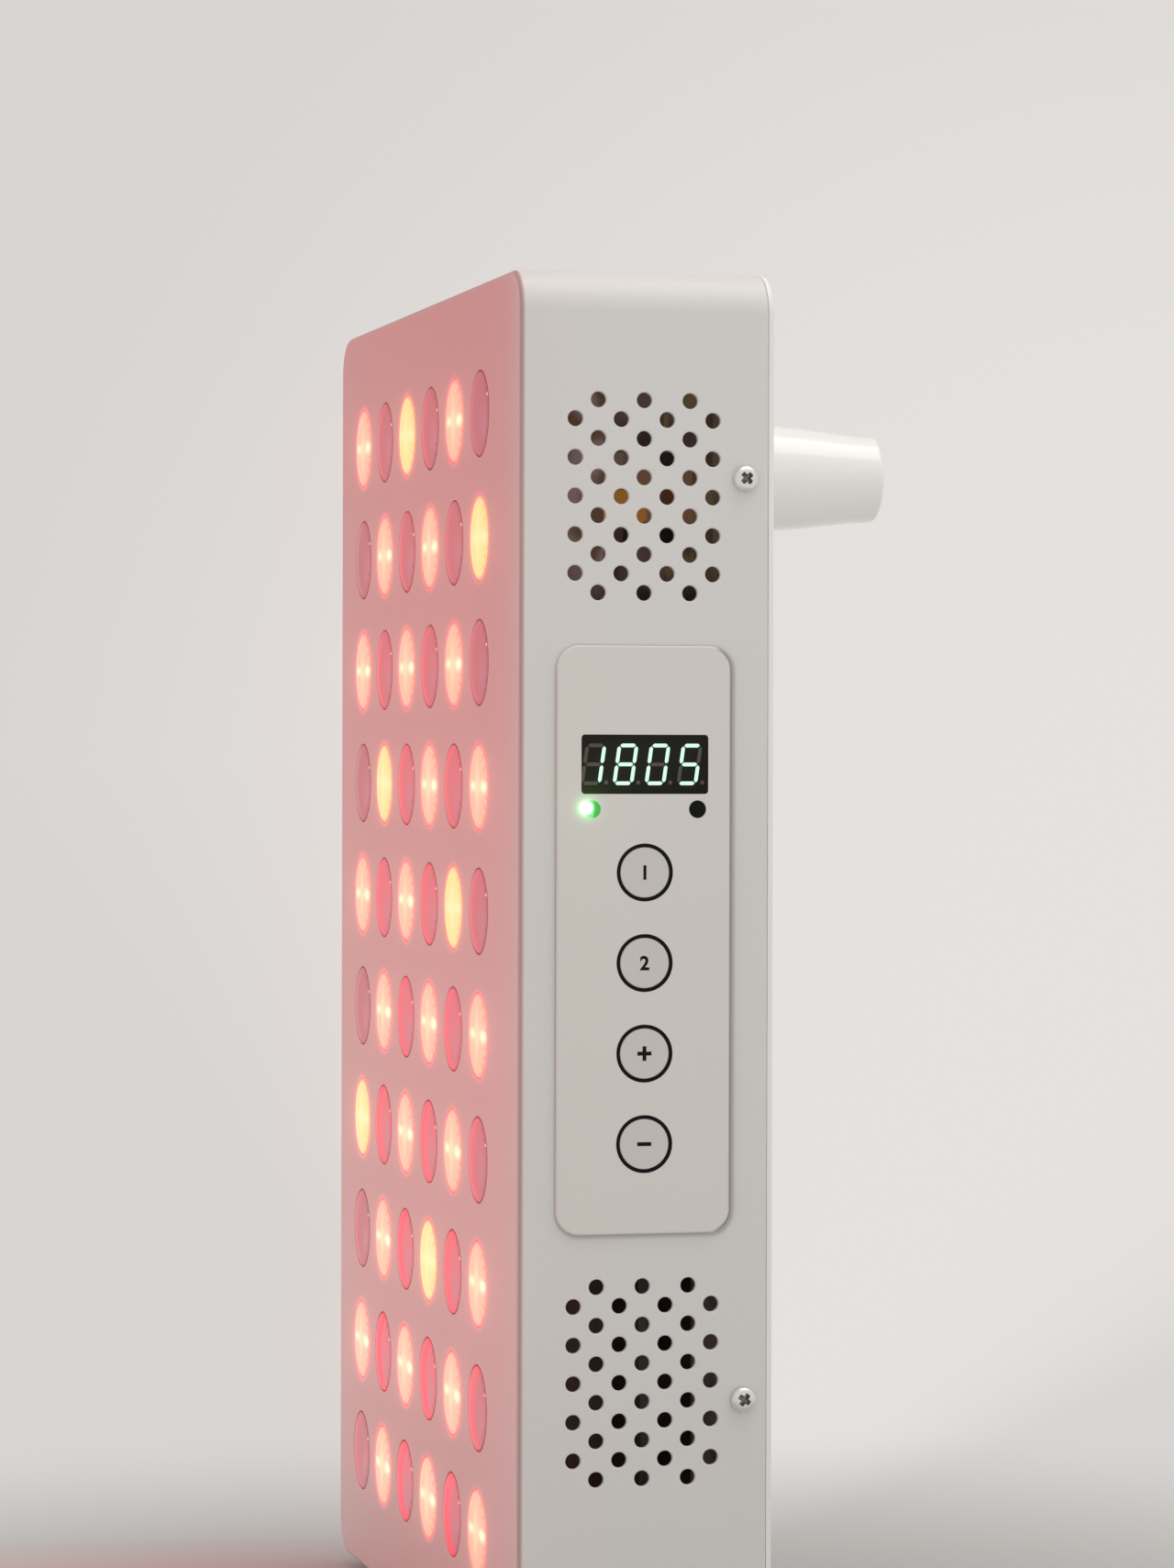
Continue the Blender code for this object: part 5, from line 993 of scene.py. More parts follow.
for index, (centre, mark) in enumerate(zip(key_centres, KEY_MARKS), start=1):
    node = f"key_{index}"
    key_low, key_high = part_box(node)
    root = key_low.x - key_high.x
    key_profile = [
        (0, 0), (KEY_RADIUS * 0.6, 0), (KEY_RADIUS - KEY_EDGE, 0), (KEY_RADIUS, -KEY_EDGE),
        (KEY_RADIUS, -KEY_CAP_DEPTH), (KEY_STEM_RADIUS, -KEY_CAP_DEPTH), (KEY_STEM_RADIUS, root), (0, root)]
    key_rings = turned(key_profile, 64, (key_high.x, *centre), (1, 0, 0))
    surface(f"key_cap_{index}", [belt(key_rings)], [key_paint], node, "overlay_white", node)
    ring_rings = turned(RING_PROFILE, 72, (OVERLAY_HIGH.x, *centre), (1, 0, 0))
    surface(f"key_ring_{index}", [belt(ring_rings)], [ring_rubber], "case", "dark_pane")
    fitted(flat_mark(f"key_mark_{index}", mark, centre, key_high.x), node, "dark_pane")


# Cover screws. Zinc-plated pan-head screws with a cross recess go through the sides into the back cover's
# flanges, two on each side. A screw's sizes are its head's radius and height, then its shank's radius and
# length.
COVER_SCREW = (0.00295, 0.0019, 0.0015, 0.0060)
SCREW_SIDES = 80
HEAD_EDGE = 0.35
ARM_HALF_WIDTH = 0.15
ARM_REACH = 0.54
ARM_SOFTNESS = 0.10
ARM_DEPTH = 0.6
SCREW_TINT = (0.95, 0.945, 0.93)
SHADE_TINT = (0.30, 0.30, 0.29)


def bright_metal(name, tint, roughness):
    """Plated metal: one tint with faint clouds of tarnish, and a roughness that varies with them."""
    paint = Paint(name, tint, roughness, Metallic=1.0)
    coated(paint, tint, roughness, noise(paint, 240.0, 4.0), (0.86, 1.0), (-0.06, 0.10))
    return paint


def box_ends(node):
    """A node's lowest and highest corners and its middle, as arrays."""
    low, high = np.array(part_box(node))
    return low, high, (low + high) / 2


screw_zinc = bright_metal("screw_zinc", SCREW_TINT, 0.30)
screw_shade = bright_metal("screw_shade", SHADE_TINT, 0.55)


def screw(name, node, axis, sizes, turn):
    """A pan-head screw whose head ends where its node does. From its edge the head rises by the root of one
    less the fourth power of the radius share. Two crossed arms are cut where a point lies within half an
    arm's width and its length, and the faces deep in them take a darker copy of the plating as painted shade."""
    head_radius, head_height, shank_radius, shank_length = sizes
    low, high, middle = box_ends(node)
    axis = np.array(axis, float)
    seat = np.where(axis == 0, middle, np.where(axis > 0, high, low)) - head_height * axis
    spoke = np.abs(np.roll(axis, 1))
    radii = np.concatenate([np.linspace(0, 0.96, 26), [0.985, 1.0]])[:, None]
    turns = np.arange(SCREW_SIDES) / SCREW_SIDES * 2 * math.pi
    across = np.abs(radii * np.cos(turns - turn))
    along = np.abs(radii * np.sin(turns - turn))
    arms = [
        np.clip((ARM_HALF_WIDTH - aside) / ARM_SOFTNESS + 0.5, 0, 1)
        * np.clip((ARM_REACH - out) / ARM_SOFTNESS, 0, 1)
        for aside, out in ((across, along), (along, across))]
    arms = np.maximum(*arms)
    crown = HEAD_EDGE + (1 - HEAD_EDGE) * np.sqrt(np.maximum(0, 1 - radii ** 4)) - ARM_DEPTH * arms
    spokes = np.cos(turns)[:, None] * spoke + np.sin(turns)[:, None] * np.cross(axis, spoke)
    head = seat + head_radius * radii[..., None] * spokes + head_height * crown[..., None] * axis
    shank = [(head_radius, 0), (shank_radius, 0), (shank_radius, -shank_length), (0, -shank_length)]
    rings = np.concatenate([head, turned(shank, SCREW_SIDES, seat, axis)])
    recessed = np.zeros((len(rings) - 1, SCREW_SIDES), int)
    recessed[:len(radii) - 1] = arms[:-1] + np.roll(arms[1:], -1, axis=1) > 0.9
    surface(name, [belt(rings, recessed.ravel())], [screw_zinc, screw_shade], "case", "screw_steel", node)


for index in range(1, 5):
    node = f"cover_screw_{index}"
    sign = 1 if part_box(node)[1].x > 0 else -1
    screw(f"cover_screw_piece_{index}", node, (sign, 0, 0), COVER_SCREW, 0.55 + 0.2 * index)


# Rear posts. Gloss-painted posts screwed to the back cover from inside. Each keeps its width near the cover,
# then narrows along an S-curve to a softly rounded end.
POST_BASE_RADIUS = 0.0127
POST_END_RADIUS = 0.0103
POST_SEAT = 0.0003
POST_ROUND = 0.0009
POST_TAPER_START = 0.15
POST_TAPER_SPAN = 0.91
POST_TINT = (0.95, 0.945, 0.93)


def post_profile(length):
    """Radius and height rows: the base's radius falls to the end's by a smoothstep of the height."""
    heights = np.linspace(0, length - POST_ROUND, 40)
    share = np.clip((heights / length - POST_TAPER_START) / POST_TAPER_SPAN, 0, 1)
    radii = POST_END_RADIUS + (POST_BASE_RADIUS - POST_END_RADIUS) * (1 - share ** 2 * (3 - 2 * share))
    edge = quarter(POST_ROUND)[1:, ::-1] * (-1, 1) + (radii[-1], length - POST_ROUND)
    foot = [(0, -POST_SEAT), (radii[0], -POST_SEAT)]
    return np.concatenate([foot, np.stack([radii, heights], axis=1), edge, [(0, length)]])


post_gloss = powder_coat("post_gloss", POST_TINT, roughness=0.20, grain=0.00002)
post_gloss.put(Coat_Weight=0.5)
for index in (1, 2):
    node = f"rear_post_{index}"
    low, high, middle = box_ends(node)
    rings = turned(post_profile(high[1] - low[1]), 96, (middle[0], low[1], middle[2]), (0, 1, 0))
    surface(f"rear_post_piece_{index}", [belt(rings)], [post_gloss], "case", "post_gloss", node)


# Back cover. A flat sheet of the same coated steel closes the tray. It is punched for two fans, the mains
# inlet and the switch, has folded side flanges for the cover screws, and pressed pillars for the boards.
COVER_LOW, COVER_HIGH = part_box("back_cover")
COVER_SHEET = 0.00145
COVER_ROLL = 0.00085
COVER_HOLE_ROLL = 0.0002
# The cover's white is lighter than the case's: a painted highlight, so its rear edge shows as a bright line.
COVER_TINT = (0.930, 0.925, 0.910)
FLANGE_FACE_X = 0.1060
FLANGE_ENDS = (0.0230, 0.3160)
FLANGE_CORNER = 0.0010
FAN_CENTRES = {"upper": (0.0, 0.2828), "lower": (0.0, 0.0752)}
FAN_OPENING = 0.0380
FAN_SCREW_REACH = 0.03575
FAN_SCREW_HOLE = 0.0022
POST_SCREW_PLACES = [(-0.0775, 0.2893), (0.0775, 0.2893)]
POST_SCREW_HOLE = 0.0023
INLET_CENTRE = (-0.0140, 0.0200)
INLET_BODY = np.array((0.0270, 0.0196))
INLET_SCREW_PLACES = [(INLET_CENTRE[0] + side * 0.0200, INLET_CENTRE[1]) for side in (-1, 1)]
INLET_SCREW_HOLE = 0.0018
SWITCH_CENTRE = (0.0300, 0.0200)
SWITCH_BODY = np.array((0.0128, 0.0192))
STANDOFF_SIZE = (0.0030, 0.0088)
STANDOFF_PLACES = np.concatenate([SIGNS * (0.016, 0.046) + (side * 0.070, 0.278) for side in (-1, 1)])
UPPER_GRILLE_FOOT = 0.2555


def inner_shine(paint, low, high, *ramps):
    """The faint light that comes through the grille onto a hidden face: a noise's mix of two tints. Along
    each ramp's axis it grows smoothly from its faintest at the first place to full at the second."""
    patches = paint.ramp(noise(paint, 120.0, 1.0), 0.38, 0.62)
    shares = [paint.ramp(paint.axis(axis), start, end, faintest) for axis, start, end, faintest in ramps]
    paint.put(Emission_Color=paint.mix(patches, low, high), Emission_Strength=paint.times(*shares))


cover_paint = powder_coat("powder_white_cover", COVER_TINT)
cover_inside = COVER_HIGH.y - COVER_SHEET
inner_shine(
    cover_paint, (0.010, 0.006, 0.007), (0.020, 0.013, 0.012), (1, cover_inside + 0.0002, cover_inside, 0.0))
cover_holes = round_holes(FAN_CENTRES.values(), FAN_OPENING, sides=96)
for centre in FAN_CENTRES.values():
    cover_holes += round_holes(SIGNS * FAN_SCREW_REACH + centre, FAN_SCREW_HOLE)
cover_holes += round_holes(POST_SCREW_PLACES, POST_SCREW_HOLE)
cover_holes.append(rectangle_outline(INLET_CENTRE, INLET_BODY + 2 * GAP, CUT_CORNER))
cover_holes.append(rectangle_outline(SWITCH_CENTRE, SWITCH_BODY + 2 * GAP, CUT_CORNER))
cover_holes += round_holes(INLET_SCREW_PLACES, INLET_SCREW_HOLE)
cover_outline = box_outline("back_cover", 0, CORNER, 12)
cover_plate = slab(cover_outline, cover_holes, 0, COVER_SHEET, COVER_ROLL, COVER_HOLE_ROLL)
cover_blocks = on_face(cover_plate, COVER_HIGH.y, -1)
cover_blocks += [peg(STANDOFF_SIZE, (x, cover_inside, z), (0, -1, 0)) for x, z in STANDOFF_PLACES]
flange_outline = rounded_outline(
    (COVER_LOW.y, FLANGE_ENDS[0]), (COVER_HIGH.y - SHEET, FLANGE_ENDS[1]), FLANGE_CORNER)
flange_plate = slab(flange_outline, screw_holes, 0, SHEET, 0.0002, 0.0001)
for sign in (-1, 1):
    cover_blocks += on_side(flange_plate, sign * FLANGE_FACE_X, sign)
surface("back_cover_sheet", cover_blocks, [cover_paint], "case", "powder_white", "back_cover", weighted=True)


# Fans. Two moulded black axial fans screwed behind the cover. Each frame holds its motor on four struts, and
# the rotor with seven swept blades turns on it.
FAN_DEPTH = 0.0249
FAN_CORNER = 0.0035
FAN_HALF = 0.0400
MOTOR_RADIUS = 0.0170
MOTOR_BORE = 0.0024
MOTOR_EDGE = 0.0005
MOTOR_DEPTHS = (0.0210, 0.0249)
STRUT_WIDTH = 0.0050
STRUT_DEPTHS = (0.0220, 0.0240)
STRUT_REACH = 0.0388
ROTOR_PROFILE = [
    (0, -0.0012), (0.0098, -0.0012), (0.0100, -0.0016), (0.0108, -0.0016), (0.0110, -0.0012),
    (0.0150, -0.0012), (0.0163, -0.0015), (0.0170, -0.0024), (0.0170, -0.0207), (0.0020, -0.0207),
    (0.0020, -0.0247), (0, -0.0247)]
BLADES = 7
BLADE_RADII = (0.0158, 0.0364)
BLADE_ARC = 2 * math.pi / BLADES * 0.34
BLADE_LAG = BLADE_ARC * 0.25
BLADE_RISE = (-0.0185, -0.0050)
BLADE_ARCH = 0.0007
BLADE_THICKNESS = 0.0014


def blade_rings(start):
    """One blade's rings from root to tip. On each ring the angle grows with the chord's share, and lags more
    from root to tip; the height rises with the share plus an arch of its sine, and half the thickness is the
    root of the sine."""
    radius = np.linspace(*BLADE_RADII, 9)[:, None]
    share = np.linspace(0, 1, 11)
    chord = np.concatenate([share, share[-2:0:-1]])[None, :]
    side = np.concatenate([np.ones(11), -np.ones(9)])[None, :]
    lag = BLADE_LAG * ((radius - BLADE_RADII[0]) / (BLADE_RADII[1] - BLADE_RADII[0]) - 0.5)
    angle = start + BLADE_ARC * (2 * chord - 1) - lag
    arch = np.sin(math.pi * chord)
    height = BLADE_RISE[0] + (BLADE_RISE[1] - BLADE_RISE[0]) * chord + BLADE_ARCH * arch
    height = height + side * BLADE_THICKNESS / 2 * np.sqrt(np.maximum(arch, 0)) + BLADE_THICKNESS / 2
    height = np.broadcast_to(height, angle.shape)
    return np.stack([radius * np.cos(angle), height, radius * np.sin(angle)], axis=-1)


fan_black = moulded_plastic("fan_black", (0.014, 0.014, 0.015), 0.46)
inner_shine(
    fan_black, (0.018, 0.012, 0.010), (0.055, 0.034, 0.030), (0, FAN_HALF - 0.0003, FAN_HALF - 0.0001, 0.0),
    (2, UPPER_GRILLE_FOOT, 0.2700, 0.05))
for name, centre in FAN_CENTRES.items():
    node = "fan_frame_" + name
    fan_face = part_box(node)[1].y
    motor_place = np.array([centre[0], fan_face, centre[1]])
    frame_holes = round_holes([centre], FAN_OPENING, sides=96)
    frame_holes += round_holes(SIGNS * FAN_SCREW_REACH + centre, FAN_SCREW_HOLE)
    frame_blocks = slab(box_outline(node, 0, FAN_CORNER, 8), frame_holes, 0, FAN_DEPTH, 0.0005, 0.0007)
    for along in np.array([(1, 0), (0, 1)]):
        aside = along[::-1] * (-1, 1) * STRUT_WIDTH / 2
        out = along * STRUT_REACH
        strut = np.array([out + aside, -out + aside, -out - aside, out - aside]) + centre
        frame_blocks += thin_blocks([strut], STRUT_DEPTHS[0], STRUT_DEPTHS[1] - STRUT_DEPTHS[0])
    motor_front, motor_back = MOTOR_DEPTHS
    motor_profile = [
        (MOTOR_BORE, motor_front), (MOTOR_RADIUS - MOTOR_EDGE, motor_front),
        (MOTOR_RADIUS, motor_front + MOTOR_EDGE), (MOTOR_RADIUS, motor_back), (MOTOR_BORE, motor_back),
        (MOTOR_BORE, motor_front)]
    frame_blocks = on_face(frame_blocks, fan_face, -1)
    frame_blocks.append(belt(turned(motor_profile, 64, motor_place, (0, -1, 0))))
    surface("fan_frame_piece_" + name, frame_blocks, [fan_black], "case", "black_plastic", node)
    rotor_blocks = [belt(turned(ROTOR_PROFILE, 72, motor_place, (0, 1, 0)))]
    for index in range(BLADES):
        rotor_blocks += capped(blade_rings(2 * math.pi * index / BLADES) + motor_place)
    rotor = "fan_rotor_" + name
    surface("fan_rotor_piece_" + name, rotor_blocks, [fan_black], rotor, "black_plastic", rotor)


# Fan guards. Nickel-plated wire: three rings welded on four bent arms that end in flat eyelets, each held by
# a cross-slot screw through the cover into the fan.
WIRE_RADIUS = 0.0010
GUARD_RING_RADII = (0.0110, 0.0245, 0.0380)
GUARD_RING_RISE = 0.0037
EYELET_RADII = (0.0022, 0.00425)
EYELET_THICKNESS = 0.0014
ARM_STATIONS = np.array([
    (0.0090, 0.0022), (0.0110, 0.0023), (0.0300, 0.0023), (0.0390, 0.0023), (0.0410, 0.0022),
    (0.0430, 0.0018), (0.0445, 0.0014), (0.0460, 0.0011), (0.0474, 0.0010)])
GUARD_SEAT = 0.0003
FAN_SCREW = (0.0029, 0.0019, 0.0018, 0.0100)


def guard_arm(angle, base):
    """Rings of one arm: a circle of wire carried along stations of radius and rise, square to the line
    between the neighbouring stations, and closed to a point at both ends."""
    out = np.array([math.cos(angle), 0, math.sin(angle)])
    aside = np.array([-math.sin(angle), 0, math.cos(angle)])
    lift = np.array([0, 1, 0])
    stations = ARM_STATIONS[:, :1] * out + ARM_STATIONS[:, 1:] * lift
    steps = np.gradient(ARM_STATIONS, axis=0)
    steps = steps / np.linalg.norm(steps, axis=1, keepdims=True)
    normal = -steps[:, 1:] * out + steps[:, :1] * lift
    wire = circle(10)[None, :, :1] * aside + circle(10)[None, :, 1:] * normal[:, None, :]
    ends = np.repeat(stations[[0, -1], None, :], 10, axis=1)
    return np.concatenate([ends[:1], stations[:, None, :] + WIRE_RADIUS * wire, ends[1:]]) + base


guard_nickel = bright_metal("guard_nickel", (0.80, 0.79, 0.77), 0.26)
wire_turns = np.linspace(0, 2 * math.pi, 11)
wire_profile = WIRE_RADIUS * np.stack([np.cos(wire_turns), np.sin(wire_turns)], axis=1)
inner, outer = EYELET_RADII
washer = [
    (inner, -GUARD_SEAT), (outer, -GUARD_SEAT), (outer, EYELET_THICKNESS - 0.0003),
    (outer - 0.0003, EYELET_THICKNESS), (inner, EYELET_THICKNESS), (inner, -GUARD_SEAT)]
for name, centre in FAN_CENTRES.items():
    node = "fan_guard_" + name
    guard_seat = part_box(node)[0].y
    base = np.array([centre[0], guard_seat, centre[1]])
    guard_rings = [
        turned(wire_profile + (radius, GUARD_RING_RISE), 96, base, (0, 1, 0)) for radius in GUARD_RING_RADII]
    guard_rings += [guard_arm(math.pi / 4 + index * math.pi / 2, base) for index in range(4)]
    guard_rings += [
        turned(washer, 36, (x, guard_seat, z), (0, 1, 0)) for x, z in SIGNS * FAN_SCREW_REACH + centre]
    surface(
        "fan_guard_piece_" + name, [belt(rings) for rings in guard_rings], [guard_nickel], "case",
        "bright_wire", node, smooth_degrees=50)
    for index in range(1, 5):
        node = f"fan_screw_{name}_{index}"
        screw(node + "_piece", node, (0, 1, 0), FAN_SCREW, 0.4 + 1.1 * index)


# Mains inlet. A black moulded appliance inlet with three brass pins in a keyed recess, clipped through the
# cover and held by two screws in its flange.
INLET_FLANGE = [(0.0250, 0.0055), (0.0135, 0.0110), (-0.0135, 0.0110), (-0.0250, 0.0055),
                (-0.0250, -0.0055), (-0.0135, -0.0110), (0.0135, -0.0110), (0.0250, -0.0055)]
INLET_FLANGE_THICKNESS = 0.0033
INLET_SOCKET = [(0.0122, 0.0038), (0.0077, 0.0083), (-0.0077, 0.0083), (-0.0122, 0.0038),
                (-0.0122, -0.0083), (0.0122, -0.0083)]
INLET_SOCKET_DEPTH = 0.0165
INLET_SCREW = (0.0026, 0.0016, 0.0014, 0.0068)
HOUSING_OVERLAP = 0.00017
HOUSING_GAP = 0.00003
HOUSING_EDGE = 0.0006
HOUSING_SHARP = 0.0001


def filleted(corners, radius, steps, centre=(0, 0)):
    """Points and outward directions of an anticlockwise polygon with rounded corners. Each corner's arc turns
    from one edge's normal to the next, about the corner less the radius times the normals' sum over one
    plus their product, and the other way where the corner is hollow."""
    corners = np.array(corners, float)
    edges = np.roll(corners, -1, axis=0) - corners
    edges = edges / np.linalg.norm(edges, axis=1, keepdims=True)
    after = np.stack([edges[:, 1], -edges[:, 0]], axis=1)
    before = np.roll(after, 1, axis=0)
    turn = np.arctan2(before[:, 0] * after[:, 1] - before[:, 1] * after[:, 0], (before * after).sum(axis=1))
    first = np.arctan2(before[:, 1], before[:, 0])
    angles = first[:, None] + turn[:, None] * np.linspace(0, 1, steps + 1)
    directions = np.stack([np.cos(angles), np.sin(angles)], axis=-1)
    bulge = (radius * np.sign(turn))[:, None]
    middles = corners - bulge * (before + after) / (1 + (before * after).sum(axis=1, keepdims=True))
    points = middles[:, None, :] + bulge[:, None, :] * directions
    return points.reshape(-1, 2) + np.array(centre), directions.reshape(-1, 2)


def housing(node, rim, rim_thickness, rim_roll, body, recess, screws, floor, floor_depth):
    """A moulded housing of three overlapping blocks: its rim on the cover, its body through the cover, and
    the floor of its recess."""
    low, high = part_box(node)
    length = high.y - low.y
    body_front = rim_thickness - HOUSING_OVERLAP
    blocks = slab(rim, [recess] + screws, 0, rim_thickness, HOUSING_EDGE, rim_roll)
    blocks += slab(body, [recess], body_front, length - body_front, HOUSING_SHARP, HOUSING_SHARP)
    blocks += slab(floor, [], floor_depth, length - floor_depth - HOUSING_OVERLAP, HOUSING_SHARP)
    return on_face(blocks, high.y, -1)


inlet_black = moulded_plastic("inlet_black", (0.012, 0.012, 0.013), 0.38)
socket = filleted(INLET_SOCKET, 0.0010, 4, INLET_CENTRE)
socket_floor = (socket[0] - HOUSING_GAP * socket[1], socket[1])
inlet_screw_holes = round_holes(INLET_SCREW_PLACES, INLET_SCREW_HOLE, sides=24)
inlet_blocks = housing(
    "power_inlet", filleted(INLET_FLANGE, 0.0020, 4, INLET_CENTRE), INLET_FLANGE_THICKNESS, 0.0005,
    rectangle_outline(INLET_CENTRE, INLET_BODY, 0.0008), socket, inlet_screw_holes, socket_floor,
    INLET_SOCKET_DEPTH)
surface("mains_inlet_housing", inlet_blocks, [inlet_black], "case", "black_plastic", "power_inlet")
pin_brass = bright_metal("pin_brass", (0.78, 0.66, 0.44), 0.24)
for name in ("live", "neutral", "earth"):
    node = "inlet_pin_" + name
    low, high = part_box(node)
    pin_blocks = on_face(slab(box_outline(node, 0, 0.0008), [], 0, high.y - low.y, 0.0006), high.y, -1)
    surface(node + "_blade", pin_blocks, [pin_brass], "case", "pin_brass", node)
for index in (1, 2):
    node = f"inlet_screw_{index}"
    screw(node + "_piece", node, (0, 1, 0), INLET_SCREW, 0.9 * index)


# Power switch. A black rocker tips in a moulded frame that snaps through the cover. Its halves carry the
# plain line and ring that mark on and off.
SWITCH_BEZEL = (0.0150, 0.0210)
SWITCH_BEZEL_THICKNESS = 0.0023
SWITCH_WELL = np.array((0.0108, 0.0172))
SWITCH_WELL_DEPTH = 0.0120
ROCKER_AXIS = (0.01565, 0.0200)
ROCKER_HALF_WIDTH = 0.0051
ROCKER_TILT = math.radians(10)
ROCKER_OUTLINE = [(0.0024, -0.0076), (0.0008, 0.0), (0.0024, 0.0076), (0.0, 0.0076), (-0.0045, 0.0038),
                  (-0.0045, -0.0038), (0.0, -0.0076)]
ROCKER_FILLET = 0.0006
ROCKER_EDGE = 0.0004
MARK_REACH = 0.0013
MARK_WIDTH = 0.0004
ROCKER_MARK_LIFT = 0.00003

switch_blocks = housing(
    "switch_frame", rectangle_outline(SWITCH_CENTRE, SWITCH_BEZEL, 0.0012), SWITCH_BEZEL_THICKNESS, 0.0004,
    rectangle_outline(SWITCH_CENTRE, SWITCH_BODY, 0.0006),
    rectangle_outline(SWITCH_CENTRE, SWITCH_WELL, 0.0005), [],
    rectangle_outline(SWITCH_CENTRE, SWITCH_WELL - 2 * HOUSING_GAP, 0.0005), SWITCH_WELL_DEPTH)
surface("switch_frame_piece", switch_blocks, [inlet_black], "case", "black_plastic", "switch_frame")

tilt_out = np.array([0, math.cos(ROCKER_TILT), math.sin(ROCKER_TILT)])
tilt_up = np.array([0, -math.sin(ROCKER_TILT), math.cos(ROCKER_TILT)])
rocker_place = np.array([SWITCH_CENTRE[0], *ROCKER_AXIS])
rocker_rows = np.concatenate([
    rolled(ROCKER_EDGE) * (-1, 1) - (0, ROCKER_HALF_WIDTH),
    (rolled(ROCKER_EDGE) * (-1, -1) + (0, ROCKER_HALF_WIDTH))[::-1]])
rocker_rim = carried(filleted(ROCKER_OUTLINE, ROCKER_FILLET, 4), rocker_rows)
rocker_blocks = laid(filled(rocker_rim), rocker_place, tilt_out, tilt_up, (1, 0, 0))
rocker_black = moulded_plastic("rocker_black", (0.016, 0.016, 0.017), 0.30)
surface("switch_rocker_piece", rocker_blocks, [rocker_black], "rocker", "black_plastic", "switch_rocker")

mark_white = moulded_plastic("rocker_mark_white", (0.78, 0.78, 0.76), 0.5, 0.00001)
mark_line = np.array([(1, 1), (-1, 1), (-1, -1), (1, -1)]) * (MARK_WIDTH / 2, MARK_REACH)
ring_outer, ring_inner = (
    carried(round_outline((0, 0), radius, 40), [(0, 0), (0, 2 * ROCKER_MARK_LIFT)])
    for radius in (MARK_REACH, MARK_REACH - MARK_WIDTH))
mark_ring = np.stack([ring_outer[0], ring_outer[1], ring_inner[1], ring_inner[0], ring_outer[0]])
for name, side, blocks in (
        ("on", -1, thin_blocks([mark_line], 0, 2 * ROCKER_MARK_LIFT)), ("off", 1, [belt(mark_ring)])):
    ridge = np.array(ROCKER_OUTLINE[1])
    tip = np.array(ROCKER_OUTLINE[1 + side])
    along = (tip - ridge) / np.linalg.norm(tip - ridge) * side
    face_up = along[0] * tilt_out + along[1] * tilt_up
    face_out = along[1] * tilt_out - along[0] * tilt_up
    middle = (ridge + tip) / 2
    origin = rocker_place + middle[0] * tilt_out + middle[1] * tilt_up + face_out * ROCKER_MARK_LIFT
    mark_blocks = laid(blocks, origin, (1, 0, 0), face_up, -face_out)
    surface("rocker_mark_" + name, mark_blocks, [mark_white], "rocker", "overlay_white")


# Feet. Four black rubber feet whose stems plug into the case's lower end. Each has a rounded foot with a
# shallow hollow in its middle.
FOOT_RADIUS = 0.0070
FOOT_HEIGHT = 0.0030
FOOT_STEM_RADIUS = 0.0024
FOOT_STEM_EDGE = 0.0006
FOOT_ROUND = [
    (0, 0.0004), (0.0026, 0.0004), (0.0030, 0), (FOOT_RADIUS - 0.0012, 0), (FOOT_RADIUS - 0.0006, 0.0002),
    (FOOT_RADIUS - 0.0002, 0.0007), (FOOT_RADIUS, 0.0014), (FOOT_RADIUS - 0.0004, FOOT_HEIGHT)]

foot_rubber = moulded_plastic("foot_rubber", (0.020, 0.020, 0.020), 0.72)
for index in range(1, 5):
    node = f"rubber_foot_{index}"
    low, high, middle = box_ends(node)
    foot_stem = [
        (FOOT_STEM_RADIUS, FOOT_HEIGHT), (FOOT_STEM_RADIUS, high[2] - FOOT_STEM_EDGE),
        (FOOT_STEM_RADIUS - FOOT_STEM_EDGE, high[2]), (0, high[2])]
    foot_rings = turned(FOOT_ROUND + foot_stem, 48, (middle[0], middle[1], 0), (0, 0, 1))
    surface(node + "_piece", [belt(foot_rings)], [foot_rubber], "case", "foot_rubber", node)


# Inner parts. What shows through the grilles, the fans and the holes keeps its CAD shape: the extruded
# heatsink, the boards, the taped transformers, the capacitors, the terminal block, the leads and the
# posts' screws.
HEATSINK_TINT = (0.200, 0.150, 0.130)
BOARD_TINT = (0.004, 0.022, 0.008)
TRACK_TINT = (0.012, 0.060, 0.022)
TAPE_TINT = (0.560, 0.230, 0.030)
TAPE_FOLD_TINT = (0.40, 0.145, 0.016)
FERRITE_TINT = (0.030, 0.028, 0.027)
TAPE_HALF_HEIGHT = 0.0072
AMBER_SHINE = (0.170, 0.070, 0.0095)
BROWN_SHINE = (0.058, 0.036, 0.028)
TAPE_SHADOW = (0.006, 0.003, 0.004)
SLEEVE_TINT = (0.012, 0.012, 0.016)
STRIPE_TINT = (0.40, 0.40, 0.38)
CAN_TINT = (0.60, 0.60, 0.58)
JACKET_TINT = (0.200, 0.195, 0.190)


def dressed(paint, *nodes):
    """Give kept CAD nodes a material in all their slots."""
    for node in nodes:
        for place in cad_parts[node].material_slots:
            place.material = paint.material


heatsink = Paint("heatsink_aluminium", HEATSINK_TINT, 0.55, Metallic=0.6)
heatsink.put(Base_Color=clouded(heatsink, noise(heatsink, 900.0, 3.0, (1, 1, 0.02)), HEATSINK_TINT, 0.7))
inner_shine(heatsink, (0.050, 0.026, 0.014), (0.120, 0.082, 0.080), (2, UPPER_GRILLE_FOOT, 0.2720, 0.04))
dressed(heatsink, "heatsink")
dressed(powder_coat("led_board_white", (0.62, 0.60, 0.58), roughness=0.4, grain=0.00003), "led_board")

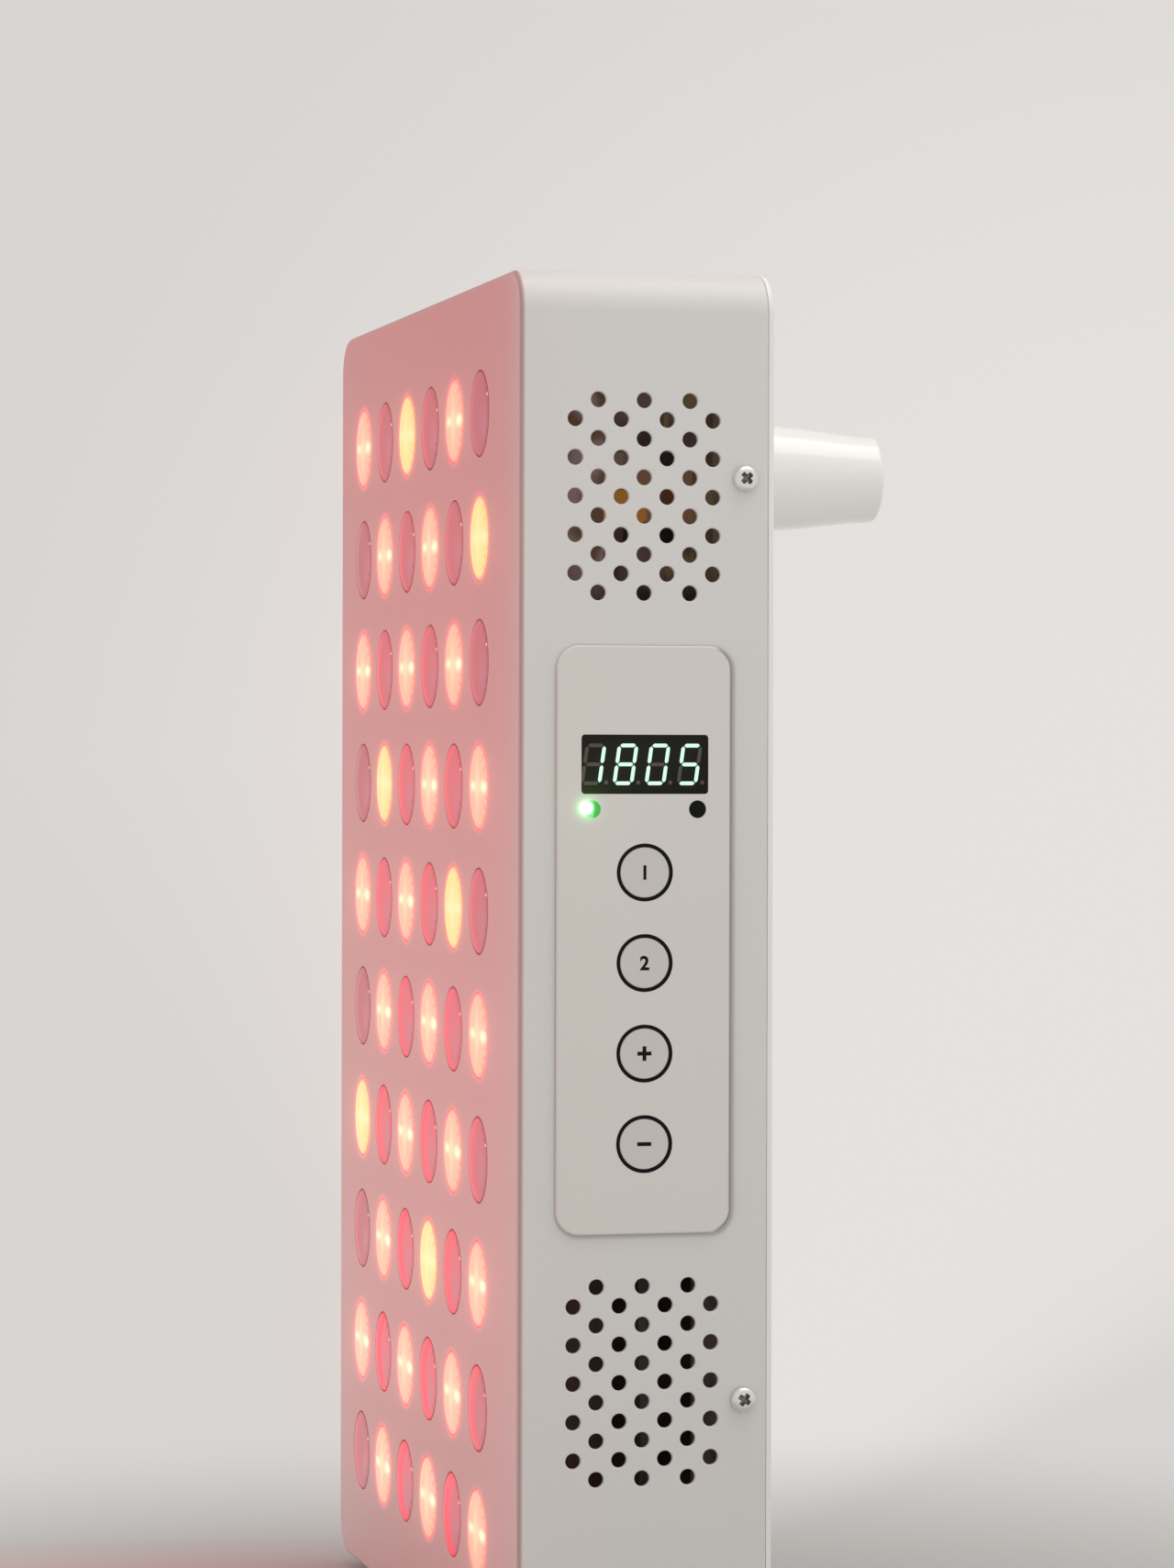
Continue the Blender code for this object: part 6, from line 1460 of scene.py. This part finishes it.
board_mask = Paint("board_green", BOARD_TINT, 0.38)
board_cells = board_mask.add(
    "TexVoronoi", {"Vector": board_mask.place(), "Scale": 260.0}, feature="DISTANCE_TO_EDGE")
board_mask.put(Base_Color=board_mask.mix(board_mask.ramp(board_cells, 0.10, 0.16), TRACK_TINT, BOARD_TINT))
inner_shine(board_mask, (0.026, 0.014, 0.014), (0.060, 0.042, 0.018), (2, UPPER_GRILLE_FOOT, 0.2700, 0.0))
dressed(board_mask, "control_board", "driver_board_1", "driver_board_2")
dressed(moulded_plastic("module_black", (0.012, 0.012, 0.012), 0.4), "display_module")

# The light painted on the tape as a glow, as seen through the grille: amber on its front part up to just
# above the coil's middle, brown behind and above that, with a painted shadow band across its depth, and none
# at its lower end.
tape = Paint("amber_tape", TAPE_TINT, 0.28)
tape_rise = tape.math("SUBTRACT", tape.axis(2), float(box_ends("transformer_1")[2][2]))
tape_depth = tape.axis(1)
tape_end = tape.ramp(tape.math("ABSOLUTE", tape_rise), TAPE_HALF_HEIGHT, TAPE_HALF_HEIGHT + 0.0003)
tape_folds = noise(tape, 420.0, 3.0, (1, 1, 0.15))
amber = [tape.ramp(tape_depth, -0.0095, -0.0105), tape.ramp(tape_rise, 0.0022, 0.0014)]
shadow = [tape.ramp(tape_depth, -0.0078, -0.0070), tape.ramp(tape_depth, -0.0012, -0.0020)]
tape.put(
    Base_Color=tape.over(tape.mix(tape_folds, TAPE_FOLD_TINT, TAPE_TINT), FERRITE_TINT, tape_end),
    Emission_Color=tape.over(tape.over(BROWN_SHINE, AMBER_SHINE, *amber), TAPE_SHADOW, *shadow),
    Emission_Strength=tape.ramp(tape_rise, -0.0068, -0.0060))
bumped(tape, tape_folds, 0.4, 0.0002)
dressed(tape, "transformer_1", "transformer_2")

capacitor_low, capacitor_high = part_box("capacitor_1")
can = Paint("capacitor_can", SLEEVE_TINT, 0.32)
can_top = can.ramp(can.axis(1), capacitor_low.y + 0.0004, capacitor_low.y + 0.0002)
can_stripe = can.ramp(can.axis(2), capacitor_high.z - 0.0018, capacitor_high.z - 0.0016)
can_sleeve = clouded(can, noise(can, 300.0, 3.0), SLEEVE_TINT, 0.8)
can.put(Base_Color=can.over(can.over(can_sleeve, STRIPE_TINT, can_stripe), CAN_TINT, can_top))
dressed(can, "capacitor_1", "capacitor_2")

dressed(moulded_plastic("terminal_cream", (0.62, 0.57, 0.45), 0.45), "terminal_block")
dressed(moulded_plastic("lead_jacket", JACKET_TINT, 0.5), "control_harness", "led_harness", "mains_harness")
dressed(moulded_plastic("fan_lead_black", (0.018, 0.018, 0.018), 0.5), "fan_harness")
dressed(screw_zinc, "post_screw_1", "post_screw_2")


# Glow. A light bloom spreads from what is brighter than the white of the picture, as in a camera's lens.
GLOW_SETTINGS = {"Threshold": 1.0, "Smoothness": 0.1, "Strength": 0.8, "Size": 0.25}

scene = bpy.context.scene
scene.use_nodes = True
glow_tree = scene.node_tree
glow_tree.nodes.clear()
picture = glow_tree.nodes.new("CompositorNodeRLayers")
glare = glow_tree.nodes.new("CompositorNodeGlare")
glare.glare_type = "BLOOM"
for socket, value in GLOW_SETTINGS.items():
    glare.inputs[socket].default_value = value
result = glow_tree.nodes.new("CompositorNodeComposite")
glow_tree.links.new(picture.outputs["Image"], glare.inputs["Image"])
glow_tree.links.new(glare.outputs["Image"], result.inputs["Image"])
